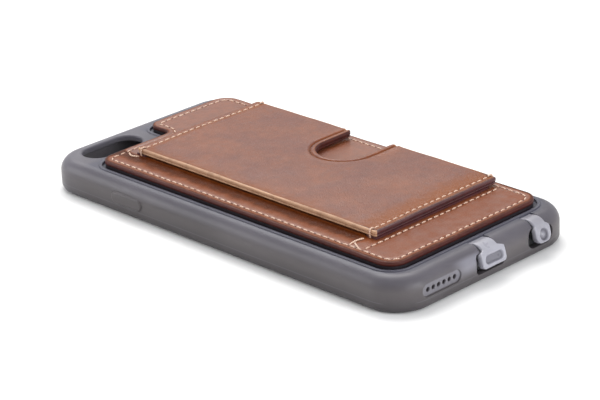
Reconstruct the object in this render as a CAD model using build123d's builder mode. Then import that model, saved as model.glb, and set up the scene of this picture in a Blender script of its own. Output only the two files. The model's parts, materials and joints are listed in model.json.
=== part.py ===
"""Phone case with a leather card pocket on its back, as separate pieces.

A soft bumper shell holds the phone. A stitched leather panel is bonded into a shallow seat
on the shell's back, and a card pocket is sewn on the panel. Lengths are in millimetres.

Frame: +X runs along the case towards the end with the charging port, -Y is the long side
with the power button, and +Z points out of the back. The screen side lies on z = 0, and the
origin is the middle of the screen opening, on that plane.
"""
from build123d import *
import os
from math import atan2, cos, degrees, radians, sin

os.makedirs("parts", exist_ok=True)

# ---------------------------------------------------------------- driving dimensions
# The phone that the case is moulded round
phone_length = 138.3
phone_width = 67.1
phone_thickness = 7.1
phone_corner = 8.5

# Bumper shell
phone_clearance = 0.15
side_wall = 2.3
back_wall = 1.7
lip_height = 1.0
lip_overhang = 1.3
top_round = 4.2
bottom_round = 2.0
bay_round = 1.8
seat_depth = 0.5
seat_gap = 0.9
seat_ridge_width = 0.9
seat_ridge_height = 0.25

# Camera window, its centre measured from the phone's camera end and near side
camera_window_long = 20.8
camera_window_short = 9.6
camera_from_end = 7.35
camera_from_side = 15.55
camera_rim_round = 0.6

# Port windows in the end wall, with their flaps
window_floor = 2.6
window_height = 5.6
charging_window_width = 11.8
charging_window_round = 1.4
headphone_window_width = 10.4
headphone_window_round = 2.7
headphone_offset = 20.6
strap_thickness = 1.2
strap_gap = 0.45
strap_root_gap = 0.2
strap_run = 0.7
strap_bend_round = 3.6
strap_tail = 0.45
charging_strap_width = 6.0
headphone_strap_width = 4.2
flap_stand_off = 0.1
flap_ajar = 14.0
head_thickness = 1.6
head_back_inset = 0.75
head_gap_below = 0.4
head_gap_above = 0.8
charging_head_width = 9.6
charging_head_round = 1.2
headphone_head_width = 6.0
headphone_head_round = 2.15
dimple_depth = 0.5
charging_dimple_length = 7.0
charging_dimple_width = 2.2
headphone_dimple_size = 2.8
plug_reach = 1.4
charging_plug_length = 8.0
charging_plug_width = 2.3
headphone_plug_size = 3.4

# Speaker grille, beside the charging port
grille_offset = -19.5
grille_length = 15.0
grille_height = 3.7
grille_rise = 0.8
grille_depth = 0.5
grille_hole = 1.4
grille_hole_count = 6
grille_hole_pitch = 2.1

# Side buttons and the opening for the mute switch, placed from the phone's camera end
button_height = 3.1
button_rise = 0.5
button_proud = 0.35
button_gap = 0.25
power_from_end = 33.8
power_length = 12.4
volume_up_from_end = 34.4
volume_down_from_end = 47.6
volume_length = 10.4
mute_from_end = 21.3
mute_length = 9.6
mute_height = 5.3

# Leather panel on the back
panel_port_margin = 7.6
panel_camera_margin = 8.1
panel_near_margin = 5.6
panel_far_margin = 5.5
panel_corner = 5.5
notch_corner = 3.2
notch_inner_corner = 2.2
notch_near_corner = 4.4
smallest_corner = 0.5
notch_x_margin = 3.5
notch_y_margin = 5.6
adhesive_thickness = 0.15
adhesive_inset = 1.2
board_thickness = 1.0
board_inset = 0.15
leather_thickness = 1.3
leather_edge_round = 0.4

# Card pocket on the panel
pocket_strip = 14.8
pocket_camera_reveal = 6.3
pocket_near_reveal = 9.6
pocket_far_reveal = 1.6
pocket_corner = 1.0
welt_width = 3.6
welt_thickness = 0.6
lining_thickness = 0.6
lining_inset = 0.1
cover_thickness = 1.2
thumb_notch_width = 16.2
thumb_notch_depth = 20.0

# Stitching
stitch_pitch = 2.5
stitch_length = 1.8
stitch_width = 0.5
stitch_height = 0.25
stitch_inset = 2.3
strip_line_gap = 1.6
tack_return = 1.6
tack_reach = 0.8

# ---------------------------------------------------------------- worked out
bay_length = phone_length + 2 * phone_clearance
bay_width = phone_width + 2 * phone_clearance
bay_corner = phone_corner + phone_clearance
bay_height = phone_thickness + phone_clearance
shell_length = bay_length + 2 * side_wall
shell_width = bay_width + 2 * side_wall
shell_corner = bay_corner + side_wall
bay_ceiling = lip_height + bay_height
shell_height = bay_ceiling + back_wall
port_end = shell_length / 2
camera_end = -shell_length / 2
phone_camera_end = -phone_length / 2
port_height = lip_height + phone_thickness / 2

camera_x = phone_camera_end + camera_from_end
camera_y = -phone_width / 2 + camera_from_side

panel_port = port_end - panel_port_margin
panel_camera = camera_end + panel_camera_margin
panel_near = -shell_width / 2 + panel_near_margin
panel_far = shell_width / 2 - panel_far_margin
notch_x = camera_x + camera_window_short / 2 + notch_x_margin
notch_y = camera_y + camera_window_long / 2 + notch_y_margin

seat_floor = shell_height - seat_depth
board_floor = seat_floor + adhesive_thickness
panel_floor = board_floor + board_thickness
panel_top = panel_floor + leather_thickness
lining_floor = panel_top + welt_thickness
cover_floor = lining_floor + lining_thickness
cover_top = cover_floor + cover_thickness

pocket_port = panel_port - pocket_strip
pocket_camera = notch_x + pocket_camera_reveal
pocket_near = panel_near + pocket_near_reveal
pocket_far = panel_far - pocket_far_reveal
pocket_length = pocket_port - pocket_camera
pocket_width = pocket_far - pocket_near
pocket_x = (pocket_port + pocket_camera) / 2
pocket_y = (pocket_far + pocket_near) / 2

strap_reach = strap_run + strap_bend_round
strap_drop = strap_bend_round + strap_tail
hinge_x = port_end + flap_stand_off - strap_thickness / 2 - strap_reach
hinge_z = shell_height - flap_stand_off - strap_thickness / 2
slot_root_x = hinge_x - strap_thickness / 2 - strap_root_gap
head_back = port_end - head_back_inset - hinge_x
head_height = window_height - head_gap_below - head_gap_above
head_drop = hinge_z - window_floor - head_gap_below - head_height / 2
plug_drop = hinge_z - port_height
button_z = port_height + button_rise


def panel_plate(inset):
    """Return the panel's outline as a filled sketch, moved inwards by inset."""
    corners = [
        (panel_port - inset, panel_near + inset, panel_corner - inset),
        (panel_port - inset, panel_far - inset, panel_corner - inset),
        (panel_camera + inset, panel_far - inset, panel_corner - inset),
        (panel_camera + inset, notch_y + inset, notch_corner - inset),
        (notch_x + inset, notch_y + inset, notch_inner_corner + inset),
        (notch_x + inset, panel_near + inset, notch_near_corner - inset),
    ]
    with BuildSketch() as plate:
        with BuildLine():
            FilletPolyline(
                *[(x, y) for x, y, _ in corners],
                radius=[max(radius, smallest_corner) for _, _, radius in corners],
                close=True,
            )
        make_face()
    return plate.sketch


def pocket_plate(inset):
    """Return the pocket's outline as a filled sketch, notched for the thumb at its far side."""
    notch_width = thumb_notch_width + 2 * inset
    arc_y = pocket_far - thumb_notch_depth + thumb_notch_width / 2
    mouth_y = pocket_far + pocket_corner
    with BuildSketch() as plate:
        with Locations((pocket_x, pocket_y)):
            RectangleRounded(pocket_length - 2 * inset, pocket_width - 2 * inset, pocket_corner)
        with Locations((pocket_x, arc_y)):
            Circle(notch_width / 2, mode=Mode.SUBTRACT)
        with Locations((pocket_x, (arc_y + mouth_y) / 2)):
            Rectangle(notch_width, mouth_y - arc_y, mode=Mode.SUBTRACT)
    return plate.sketch


def side_plane(side, distance):
    """Return the upright plane facing out of the near (-1) or far (+1) long side."""
    return Plane(origin=(0, side * distance, 0), x_dir=(-side, 0, 0), z_dir=(0, side, 0))


def stitch_places(path, plane_height, keep=lambda x, y: True):
    """Return a location for each stitch that keep accepts, evenly spaced along a path."""
    count = round(path.length / stitch_pitch)
    places = []
    for index in range(count):
        share = (index + 0.5) / count
        point = path.position_at(share)
        heading = path.tangent_at(share)
        if keep(point.X, point.Y):
            turn = degrees(atan2(heading.Y, heading.X))
            places.append(Location((point.X, point.Y, plane_height), (0, 0, turn)))
    return places


def finish(part, name):
    """Label a finished piece and write it."""
    part.label = name
    export_step(part, f"parts/{name}.step")


# ---------------------------------------------------------------- bumper shell
button_sites = {
    "power_button": (-1, phone_camera_end + power_from_end, power_length),
    "volume_up_button": (1, phone_camera_end + volume_up_from_end, volume_length),
    "volume_down_button": (1, phone_camera_end + volume_down_from_end, volume_length),
}
port_sites = [
    (0, charging_window_width, charging_window_round, charging_strap_width),
    (headphone_offset, headphone_window_width, headphone_window_round, headphone_strap_width),
]

ridge_plate = panel_plate(-seat_gap - seat_ridge_width)
seat_plate = panel_plate(-seat_gap)

with BuildPart() as bumper_shell:
    with BuildSketch():
        RectangleRounded(shell_length, shell_width, shell_corner)
    extrude(amount=shell_height)
    fillet(bumper_shell.faces().sort_by(Axis.Z)[-1].edges(), top_round)
    fillet(bumper_shell.faces().sort_by(Axis.Z)[0].edges(), bottom_round)

    # The bay that the phone sits in, with a softened ceiling edge
    with BuildSketch(Plane.XY.offset(lip_height)):
        RectangleRounded(bay_length, bay_width, bay_corner)
    extrude(amount=bay_height, mode=Mode.SUBTRACT)
    ceiling = bumper_shell.faces().filter_by(Axis.Z).sort_by(Axis.Z)[-2]
    fillet(ceiling.edges(), bay_round)

    # The screen opening, which leaves a lip over the edge of the glass
    with BuildSketch():
        RectangleRounded(
            bay_length - 2 * lip_overhang, bay_width - 2 * lip_overhang, bay_corner - lip_overhang
        )
    extrude(amount=lip_height, mode=Mode.SUBTRACT)

    # A low ridge frames the leather, and the seat is sunk inside it
    with BuildSketch(Plane.XY.offset(shell_height)):
        add(ridge_plate)
    extrude(amount=seat_ridge_height)
    with BuildSketch(Plane.XY.offset(seat_floor)):
        add(seat_plate)
    extrude(amount=seat_depth + seat_ridge_height, mode=Mode.SUBTRACT)

    # The window for the camera and its flash
    with BuildSketch(Plane.XY.offset(bay_ceiling - bay_round)):
        with Locations((camera_x, camera_y)):
            SlotOverall(camera_window_long, camera_window_short, rotation=90)
    extrude(amount=back_wall + bay_round, mode=Mode.SUBTRACT)
    fillet(bumper_shell.edges(Select.LAST).group_by(Axis.Z)[-1], camera_rim_round)

    # Windows over the ports, each with a slot above it for the flap's strap
    for port_y, window_width, window_round, strap_width in port_sites:
        with BuildSketch(Plane.YZ.offset(port_end - 2 * side_wall)):
            with Locations((port_y, window_floor + window_height / 2)):
                RectangleRounded(window_width, window_height, window_round)
        extrude(amount=3 * side_wall, mode=Mode.SUBTRACT)
        slot_length = port_end + side_wall - slot_root_x
        slot_floor = window_floor + window_height - window_round
        with BuildSketch(Plane.XY.offset(slot_floor)):
            with Locations((slot_root_x + slot_length / 2, port_y)):
                Rectangle(slot_length, strap_width + 2 * strap_gap)
        extrude(amount=shell_height - slot_floor + seat_ridge_height, mode=Mode.SUBTRACT)

    # The speaker grille: a shallow recess with a row of holes through the wall
    grille_z = port_height + grille_rise
    with BuildSketch(Plane.YZ.offset(port_end - grille_depth)):
        with Locations((grille_offset, grille_z)):
            SlotOverall(grille_length, grille_height)
    extrude(amount=side_wall, mode=Mode.SUBTRACT)
    with BuildSketch(Plane.YZ.offset(port_end - 2 * side_wall)):
        with Locations((grille_offset, grille_z)):
            with GridLocations(grille_hole_pitch, grille_hole_pitch, grille_hole_count, 1):
                Circle(grille_hole / 2)
    extrude(amount=3 * side_wall, mode=Mode.SUBTRACT)

    # Apertures for the three buttons, and the opening round the mute switch
    for side, button_x, length in button_sites.values():
        with BuildSketch(side_plane(side, bay_width / 2 - side_wall)):
            with Locations((-side * button_x, button_z)):
                SlotOverall(length + 2 * button_gap, button_height + 2 * button_gap)
        extrude(amount=3 * side_wall, mode=Mode.SUBTRACT)
    with BuildSketch(side_plane(1, bay_width / 2 - side_wall)):
        with Locations((-(phone_camera_end + mute_from_end), button_z)):
            SlotOverall(mute_length, mute_height)
    extrude(amount=3 * side_wall, mode=Mode.SUBTRACT)
finish(bumper_shell.part, "bumper_shell")

# ---------------------------------------------------------------- side buttons
# Each one fills its aperture through the wall and stands a little proud of the side
for name, (side, button_x, length) in button_sites.items():
    with BuildPart() as button:
        with BuildSketch(side_plane(side, bay_width / 2)):
            with Locations((-side * button_x, button_z)):
                SlotOverall(length, button_height)
        extrude(amount=side_wall + button_proud)
        outer_face = button.faces().filter_by(Axis.Y).sort_by(Axis.Y)[0 if side < 0 else -1]
        fillet(outer_face.edges(), button_proud)
    finish(button.part, name)


# ---------------------------------------------------------------- port flaps
# Each flap hangs by its strap and stands ajar, turned up about the strap's rounded root
flap_sites = {
    "charging_port_flap": {
        "middle": 0,
        "strap": charging_strap_width,
        "head": (charging_head_width, head_height, charging_head_round),
        "dimple": (charging_dimple_length, charging_dimple_width),
        "plug": (charging_plug_length, charging_plug_width),
    },
    "headphone_port_flap": {
        "middle": headphone_offset,
        "strap": headphone_strap_width,
        "head": (headphone_head_width, head_height, headphone_head_round),
        "dimple": (headphone_dimple_size, headphone_dimple_size),
        "plug": (headphone_plug_size, headphone_plug_size),
    },
}
flap_outward = Vector(cos(radians(flap_ajar)), 0, sin(radians(flap_ajar)))

for name, sizes in flap_sites.items():
    middle_plane = Plane(
        origin=(hinge_x, sizes["middle"], hinge_z), x_dir=flap_outward, z_dir=(0, -1, 0)
    )
    head_plane = Plane(
        origin=middle_plane.from_local_coords(Vector(head_back, 0, 0)),
        x_dir=(0, 1, 0),
        z_dir=flap_outward,
    )
    with BuildPart() as flap:
        # The strap runs out from its root and bends down over the end
        with BuildSketch(middle_plane):
            with BuildLine():
                FilletPolyline(
                    (0, 0), (strap_reach, 0), (strap_reach, -strap_drop), radius=strap_bend_round
                )
            trace(line_width=strap_thickness)
            Circle(strap_thickness / 2)
        extrude(amount=sizes["strap"] / 2, both=True)
        # The head covers the window, with a dimple on its face and a plug on its back
        with BuildSketch(head_plane):
            with Locations((0, -head_drop)):
                RectangleRounded(*sizes["head"])
        extrude(amount=head_thickness)
        with BuildSketch(head_plane.offset(head_thickness - dimple_depth)):
            with Locations((0, -head_drop)):
                SlotOverall(*sizes["dimple"])
        extrude(amount=2 * dimple_depth, mode=Mode.SUBTRACT)
        with BuildSketch(head_plane):
            with Locations((0, -plug_drop)):
                SlotOverall(*sizes["plug"])
        extrude(amount=-plug_reach)
    finish(flap.part, name)

# ---------------------------------------------------------------- leather panel and its backing
adhesive_plate = panel_plate(adhesive_inset)
with BuildPart() as adhesive_sheet:
    with BuildSketch(Plane.XY.offset(seat_floor)):
        add(adhesive_plate)
    extrude(amount=adhesive_thickness)
finish(adhesive_sheet.part, "adhesive_sheet")

board_plate = panel_plate(board_inset)
with BuildPart() as backing_board:
    with BuildSketch(Plane.XY.offset(board_floor)):
        add(board_plate)
    extrude(amount=board_thickness)
finish(backing_board.part, "backing_board")

leather_plate = panel_plate(0)
with BuildPart() as back_panel:
    with BuildSketch(Plane.XY.offset(panel_floor)):
        add(leather_plate)
    extrude(amount=leather_thickness)
    fillet(back_panel.faces().sort_by(Axis.Z)[-1].edges(), leather_edge_round)
finish(back_panel.part, "back_panel")

# ---------------------------------------------------------------- card pocket
welt_length = pocket_width - pocket_far_reveal - stitch_inset
welt_sites = {
    "pocket_welt_camera_end": pocket_camera + welt_width / 2,
    "pocket_welt_port_end": pocket_port - welt_width / 2,
}
for name, welt_x in welt_sites.items():
    with BuildPart() as welt:
        with BuildSketch(Plane.XY.offset(panel_top)):
            with Locations((welt_x, pocket_near + welt_length / 2)):
                Rectangle(welt_width, welt_length)
        extrude(amount=welt_thickness)
    finish(welt.part, name)

lining_plate = pocket_plate(lining_inset)
with BuildPart() as pocket_lining:
    with BuildSketch(Plane.XY.offset(lining_floor)):
        add(lining_plate)
    extrude(amount=lining_thickness)
finish(pocket_lining.part, "pocket_lining")

cover_plate = pocket_plate(0)
with BuildPart() as pocket_cover:
    with BuildSketch(Plane.XY.offset(cover_floor)):
        add(cover_plate)
    extrude(amount=cover_thickness)
    fillet(pocket_cover.faces().sort_by(Axis.Z)[-1].edges(), leather_edge_round)
finish(pocket_cover.part, "pocket_cover")


# ---------------------------------------------------------------- stitching
def clear_of_welts(x, y):
    """Tell whether a stitch on the panel at x, y stands clear of both welts."""
    margin = stitch_length / 2 + stitch_height
    if not pocket_near - margin < y < pocket_near + welt_length + margin:
        return True
    return all(abs(x - welt_x) > welt_width / 2 + margin for welt_x in welt_sites.values())


panel_line = panel_plate(stitch_inset).faces()[0].outer_wire()
strip_x = pocket_port + strip_line_gap
strip_line = Wire(
    Edge.make_line(
        (strip_x, panel_near + stitch_inset + stitch_pitch / 2),
        (strip_x, panel_far - stitch_inset - stitch_pitch / 2),
    )
)
cover_lines = {
    "cover_stitching_camera_end": pocket_camera + stitch_inset,
    "cover_stitching_port_end": pocket_port - stitch_inset,
}
stitch_groups = {
    "panel_edge_stitching": stitch_places(panel_line, panel_top, clear_of_welts),
    "strip_stitching": stitch_places(strip_line, panel_top),
}
for name, line_x in cover_lines.items():
    cover_line = Wire(
        Edge.make_line((line_x, pocket_near + tack_return), (line_x, pocket_far - tack_return))
    )
    stitch_groups[name] = stitch_places(cover_line, cover_top)

for name, places in stitch_groups.items():
    with BuildPart() as stitches:
        with Locations(*places):
            Box(
                stitch_length,
                stitch_width,
                stitch_height,
                align=(Align.CENTER, Align.CENTER, Align.MIN),
            )
    finish(stitches.part, name)

# Where each cover line meets an open edge, the thread wraps down over the edge to the panel
with BuildPart() as corner_tacks:
    for line_x in cover_lines.values():
        for edge_y, outward in ((pocket_near, -1), (pocket_far, 1)):
            with BuildSketch(Plane.YZ.offset(line_x)):
                with BuildLine():
                    Polyline(
                        (edge_y - outward * tack_reach, cover_top),
                        (edge_y, cover_top),
                        (edge_y, panel_top + stitch_height),
                        (edge_y + outward * stitch_height, panel_top + stitch_height),
                        (edge_y + outward * stitch_height, cover_top + stitch_height),
                        (edge_y - outward * tack_reach, cover_top + stitch_height),
                        close=True,
                    )
                make_face()
            extrude(amount=stitch_width / 2, both=True)
finish(corner_tacks.part, "corner_tacks")
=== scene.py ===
"""Looks for a phone wallet case: a soft smoke-grey bumper with a stitched leather back.

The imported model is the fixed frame. Sizes below are in millimetres and are turned into
metres where a mesh is made. Places are read from the frame's nodes.
"""
import sys
import json
import logging
import math
from dataclasses import dataclass, field
from enum import Enum
from typing import Callable, Sequence

import bpy
import numpy as np
from mathutils import Matrix, Vector
from mathutils.geometry import delaunay_2d_cdt


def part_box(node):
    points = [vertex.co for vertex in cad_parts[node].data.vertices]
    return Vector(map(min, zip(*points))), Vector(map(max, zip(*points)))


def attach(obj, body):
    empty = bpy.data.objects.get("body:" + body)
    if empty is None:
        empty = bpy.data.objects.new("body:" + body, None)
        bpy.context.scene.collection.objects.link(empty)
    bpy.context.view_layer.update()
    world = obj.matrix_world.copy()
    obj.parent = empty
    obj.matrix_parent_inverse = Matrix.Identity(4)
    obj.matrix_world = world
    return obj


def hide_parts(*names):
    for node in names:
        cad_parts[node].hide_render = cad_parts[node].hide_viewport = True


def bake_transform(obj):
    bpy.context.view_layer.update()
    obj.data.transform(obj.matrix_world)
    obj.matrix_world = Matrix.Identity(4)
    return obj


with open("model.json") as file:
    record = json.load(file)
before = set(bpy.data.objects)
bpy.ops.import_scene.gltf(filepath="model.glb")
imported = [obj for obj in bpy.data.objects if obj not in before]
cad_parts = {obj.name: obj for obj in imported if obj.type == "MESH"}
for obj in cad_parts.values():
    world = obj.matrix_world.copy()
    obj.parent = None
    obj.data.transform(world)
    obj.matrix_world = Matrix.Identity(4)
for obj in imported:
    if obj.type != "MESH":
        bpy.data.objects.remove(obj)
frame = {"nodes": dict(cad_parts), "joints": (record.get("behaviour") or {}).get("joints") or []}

LOG = logging.getLogger("wallet_case")
MM = 0.001
TURN = 2 * math.pi
CASE = "case"
Colour = tuple[float, float, float]


class Slot(Enum):
    """Names of material slots of the record."""

    BUMPER = "smoke_bumper"
    FLAP = "smoke_flap"
    LEATHER = "tan_leather"
    PALE_EDGE = "pale_leather_edge"
    THREAD = "cream_thread"


# ------------------------------------------------------------------ shader expressions
class Num:
    """A number that varies over a surface, whose arithmetic adds Math nodes."""

    def __init__(self, shader: "Shader", socket: bpy.types.NodeSocket) -> None:
        """Wrap an output socket of a shader's tree."""
        self.shader = shader
        self.socket = socket

    def _math(self, operation: str, *operands: "Num | float", clamp: bool = False) -> "Num":
        """Add a Math node.

        Args:
            operation: the node's operation.
            operands: its values in order.
            clamp: whether the result is held between 0 and 1.

        Returns:
            The node's result.
        """
        sockets = dict(enumerate(operands))
        node = self.shader.node("ShaderNodeMath", {"operation": operation, "use_clamp": clamp}, sockets)
        return Num(self.shader, node.outputs[0])

    def __add__(self, other: "Num | float") -> "Num":
        """Return the sum."""
        return self._math("ADD", self, other)

    def __radd__(self, other: float) -> "Num":
        """Return the sum with a number on the left."""
        return self._math("ADD", other, self)

    def __sub__(self, other: "Num | float") -> "Num":
        """Return the difference."""
        return self._math("SUBTRACT", self, other)

    def __rsub__(self, other: float) -> "Num":
        """Return a number minus this."""
        return self._math("SUBTRACT", other, self)

    def __mul__(self, other: "Num | float") -> "Num":
        """Return the product."""
        return self._math("MULTIPLY", self, other)

    def __rmul__(self, other: float) -> "Num":
        """Return the product with a number on the left."""
        return self._math("MULTIPLY", other, self)

    def __truediv__(self, other: "Num | float") -> "Num":
        """Return the quotient."""
        return self._math("DIVIDE", self, other)

    def __pow__(self, other: "Num | float") -> "Num":
        """Return the power."""
        return self._math("POWER", self, other)

    def sine(self) -> "Num":
        """Return the sine."""
        return self._math("SINE", self)

    def clamped(self) -> "Num":
        """Return the value held between 0 and 1."""
        return self._math("ADD", self, 0.0, clamp=True)

    def magnitude(self) -> "Num":
        """Return the value without its sign."""
        return self._math("ABSOLUTE", self)

    def at_least(self, other: "Num | float") -> "Num":
        """Return the larger of this and another value."""
        return self._math("MAXIMUM", self, other)

    def step(self, low: float, high: float) -> "Num":
        """Return a smooth step that rises from 0 at low to 1 at high."""
        sockets = {"Value": self, "From Min": low, "From Max": high}
        node = self.shader.node("ShaderNodeMapRange", {"interpolation_type": "SMOOTHSTEP"}, sockets)
        return Num(self.shader, node.outputs["Result"])


Input = Num | bpy.types.NodeSocket | float | Sequence[float]


class Shader:
    """One material's node tree, with a Principled surface."""

    def __init__(self, name: str) -> None:
        """Make an empty material of that name, with its surface and output nodes."""
        self.material = bpy.data.materials.new(name)
        self.material.use_nodes = True
        self.tree = self.material.node_tree
        self.tree.nodes.clear()
        self.surface = self.node("ShaderNodeBsdfPrincipled")
        self.node("ShaderNodeOutputMaterial", sockets={"Surface": self.surface.outputs[0]})

    def node(
        self,
        kind: str,
        settings: dict[str, object] | None = None,
        sockets: dict[str | int, "Input"] | None = None,
    ) -> bpy.types.Node:
        """Add a node.

        Args:
            kind: the node's type.
            settings: its properties, which are set first.
            sockets: values or links of its inputs, by name or number.

        Returns:
            The new node.
        """
        node = self.tree.nodes.new(kind)
        for key, value in (settings or {}).items():
            setattr(node, key, value)
        for key, value in (sockets or {}).items():
            self.feed(node.inputs[key], value)
        return node

    def feed(self, socket: bpy.types.NodeSocket, value: Input) -> None:
        """Link a value to an input socket, or set it there."""
        if isinstance(value, Num):
            value = value.socket
        if isinstance(value, bpy.types.NodeSocket):
            self.tree.links.new(value, socket)
        elif socket.type == "RGBA":
            socket.default_value = (*value, 1.0)
        else:
            socket.default_value = value

    def place(self) -> bpy.types.NodeSocket:
        """Return the object coordinates, which are the row frame's, in metres."""
        return self.node("ShaderNodeTexCoord").outputs["Object"]

    def axes(self) -> list[Num]:
        """Return the x, y and z of the object coordinates, in millimetres."""
        parts = self.node("ShaderNodeSeparateXYZ", sockets={0: self.stretched((1 / MM,) * 3)})
        return [Num(self, output) for output in parts.outputs]

    def stretched(self, scale: Sequence[float]) -> bpy.types.NodeSocket:
        """Return the object coordinates scaled along each axis."""
        sockets = {"Vector": self.place(), "Scale": scale}
        return self.node("ShaderNodeMapping", sockets=sockets).outputs[0]

    def noise(self, size: float, detail: float = 3.0, vector: bpy.types.NodeSocket | None = None) -> Num:
        """Return cloudy noise.

        Args:
            size: the width of its patches, in millimetres.
            detail: how many finer layers it has.
            vector: coordinates other than the object's.

        Returns:
            The noise, about 0.5 on average.
        """
        sockets = {"Vector": vector or self.place(), "Scale": 1 / (size * MM), "Detail": detail}
        return Num(self, self.node("ShaderNodeTexNoise", sockets=sockets).outputs["Fac"])

    def cells(self, size: float) -> Num:
        """Return the distance into cells about size millimetres wide."""
        sockets = {"Vector": self.place(), "Scale": 1 / (size * MM)}
        return Num(self, self.node("ShaderNodeTexVoronoi", sockets=sockets).outputs["Distance"])

    def attribute(self, name: str) -> Num:
        """Return the mesh's own attribute of that name."""
        return Num(self, self.node("ShaderNodeAttribute", {"attribute_name": name}).outputs["Fac"])

    def mix(self, share: Num | float, first: Input, second: Input) -> bpy.types.NodeSocket:
        """Return a mix of two colours, from the first at share 0 to the second at 1."""
        sockets = {0: share, 6: first, 7: second}
        return self.node("ShaderNodeMix", {"data_type": "RGBA"}, sockets).outputs[2]

    def bump(
        self, height: Num, depth: float, strength: float, rim_round: float = 0.0
    ) -> bpy.types.NodeSocket:
        """Return a normal dented by a height.

        Args:
            height: the pattern, from 0 to 1.
            depth: how deep the whole range is, in millimetres.
            strength: the share of the effect that is kept.
            rim_round: the radius of the soft look given to sharp rims, in millimetres.

        Returns:
            The bumped normal.
        """
        sockets = {"Height": height, "Distance": depth * MM, "Strength": strength}
        if rim_round:
            rounded = self.node("ShaderNodeBevel", {"samples": 6}, {"Radius": rim_round * MM})
            sockets["Normal"] = rounded.outputs[0]
        return self.node("ShaderNodeBump", sockets=sockets).outputs["Normal"]

    def finish(self, **sockets: Input) -> bpy.types.Material:
        """Feed the surface's sockets, named with underscores for spaces, and return the material."""
        for name, value in sockets.items():
            self.feed(self.surface.inputs[name.replace("_", " ")], value)
        return self.material


def srgb(red: int, green: int, blue: int) -> Colour:
    """Return a screen colour, 0 to 255 each, as linear light."""
    shares = (red / 255, green / 255, blue / 255)
    return tuple(x / 12.92 if x <= 0.04045 else ((x + 0.055) / 1.055) ** 2.4 for x in shares)


# ------------------------------------------------------------------ finishes
@dataclass(frozen=True)
class LeatherFinish:
    """Smooth waxed leather with a fine pebble grain, burnished orange and then dark; the dark also carries
    painted shade.

    Attributes:
        name: the material's name.
        body: the leather's main colour.
        warm: the colour of the warmer patches.
        amber: the colour of lightly burnished leather.
        deep: the colour of hard-burnished edges, of pores, and of the painted shade in front of the pocket.
        gloss: the roughness of the open surface.
        shine: how strongly the surface reflects.
        veil: the weight of the wax film, which burnishing rubs away.
        veil_fade: the burnishing at which the film starts to go, and at which it is gone.
        stretch: how streaks and wrinkles are packed along each axis.
    """

    name: str
    body: Colour
    warm: Colour
    amber: Colour
    deep: Colour
    gloss: float = 0.4
    shine: float = 0.5
    veil: float = 0.6
    veil_fade: tuple[float, float] = (0.08, 0.62)
    stretch: tuple[float, float, float] = (1.5, 0.4, 1.0)

    def material(self) -> bpy.types.Material:
        """Return the leather: clouded colour, burnishing and painted shade from the mesh, pores and creases.
        """
        shader = Shader(self.name)
        along = shader.stretched(self.stretch)
        cloud = shader.noise(15.0, 4.0).step(0.36, 0.66)
        mottle = shader.noise(2.4, 5.0).step(0.3, 0.72)
        streak = shader.noise(5.0, 3.0, along).step(0.45, 0.75)
        burnish_and_shade = (shader.attribute("burnish_and_shade") + (shader.noise(3.0, 3.0) - 0.5) * 0.5).clamped()
        colour = shader.mix(cloud * 0.8, self.body, self.warm)
        colour = shader.mix(mottle * 0.3, colour, self.deep)
        colour = shader.mix(streak * 0.25, colour, self.warm)
        colour = shader.mix(burnish_and_shade.step(0.05, 0.7) * 0.8, colour, self.amber)
        # hard burnish and painted shade, both from the mesh attribute, turn deep
        colour = shader.mix(burnish_and_shade.step(0.6, 1.0) * 0.85, colour, self.deep)
        pebble = shader.cells(0.62).step(0.05, 0.6)
        broad = shader.cells(1.5).step(0.0, 0.8)
        fine = shader.noise(0.22, 3.0)
        wrinkle = shader.noise(2.4, 4.0, along)
        crease = shader.noise(8.0, 3.0)
        pore = 1.0 - shader.cells(0.9).step(0.0, 0.16)
        grain = pebble * 0.3 + broad * 0.2 + fine * 0.15 + wrinkle * 0.9 + crease * 0.9 - pore * 0.25
        roughness = self.gloss + (shader.noise(1.1, 3.0) - 0.5) * 0.24 - burnish_and_shade * 0.08 + pore * 0.12
        return shader.finish(
            Base_Color=shader.mix(pore * 0.4, colour, self.deep),
            Roughness=roughness.clamped(),
            Normal=shader.bump(grain, 0.2, 0.8),
            Coat_Weight=self.veil * (1.0 - burnish_and_shade.step(*self.veil_fade)),
            Coat_Roughness=0.34,
            Specular_IOR_Level=self.shine,
        )


@dataclass(frozen=True)
class EdgeFinish:
    """The cut edge of leather, raw or painted, with the faint lines of its layers.

    Attributes:
        name: the material's name.
        face: the edge's main colour.
        line: the colour of the layer lines and stains.
        gloss: the roughness.
        shine: how strongly the edge reflects.
        line_pitch: the distance between layer lines, in millimetres.
    """

    name: str
    face: Colour
    line: Colour
    gloss: float = 0.5
    shine: float = 0.5
    line_pitch: float = 0.45

    def material(self) -> bpy.types.Material:
        """Return the edge: lines along the layers, worn blotches and fibres."""
        shader = Shader(self.name)
        fibres = shader.noise(1.1, 4.0, shader.stretched((0.25, 0.25, 3.0)))
        wave = (shader.axes()[2] * (TURN / self.line_pitch) + fibres * 5.0).sine()
        layers = (wave * 0.5 + 0.5) * 0.5 + fibres.step(0.35, 0.7) * 0.5
        blotch = shader.noise(2.2, 4.0).step(0.42, 0.7)
        colour = shader.mix(layers * 0.45, self.face, self.line)
        colour = shader.mix(blotch * 0.35, colour, self.line)
        roughness = self.gloss + (fibres - 0.5) * 0.3
        return shader.finish(
            Base_Color=colour,
            Roughness=roughness.clamped(),
            Normal=shader.bump(layers * 0.6 + fibres * 0.5, 0.09, 0.7),
            Specular_IOR_Level=self.shine,
        )


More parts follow.
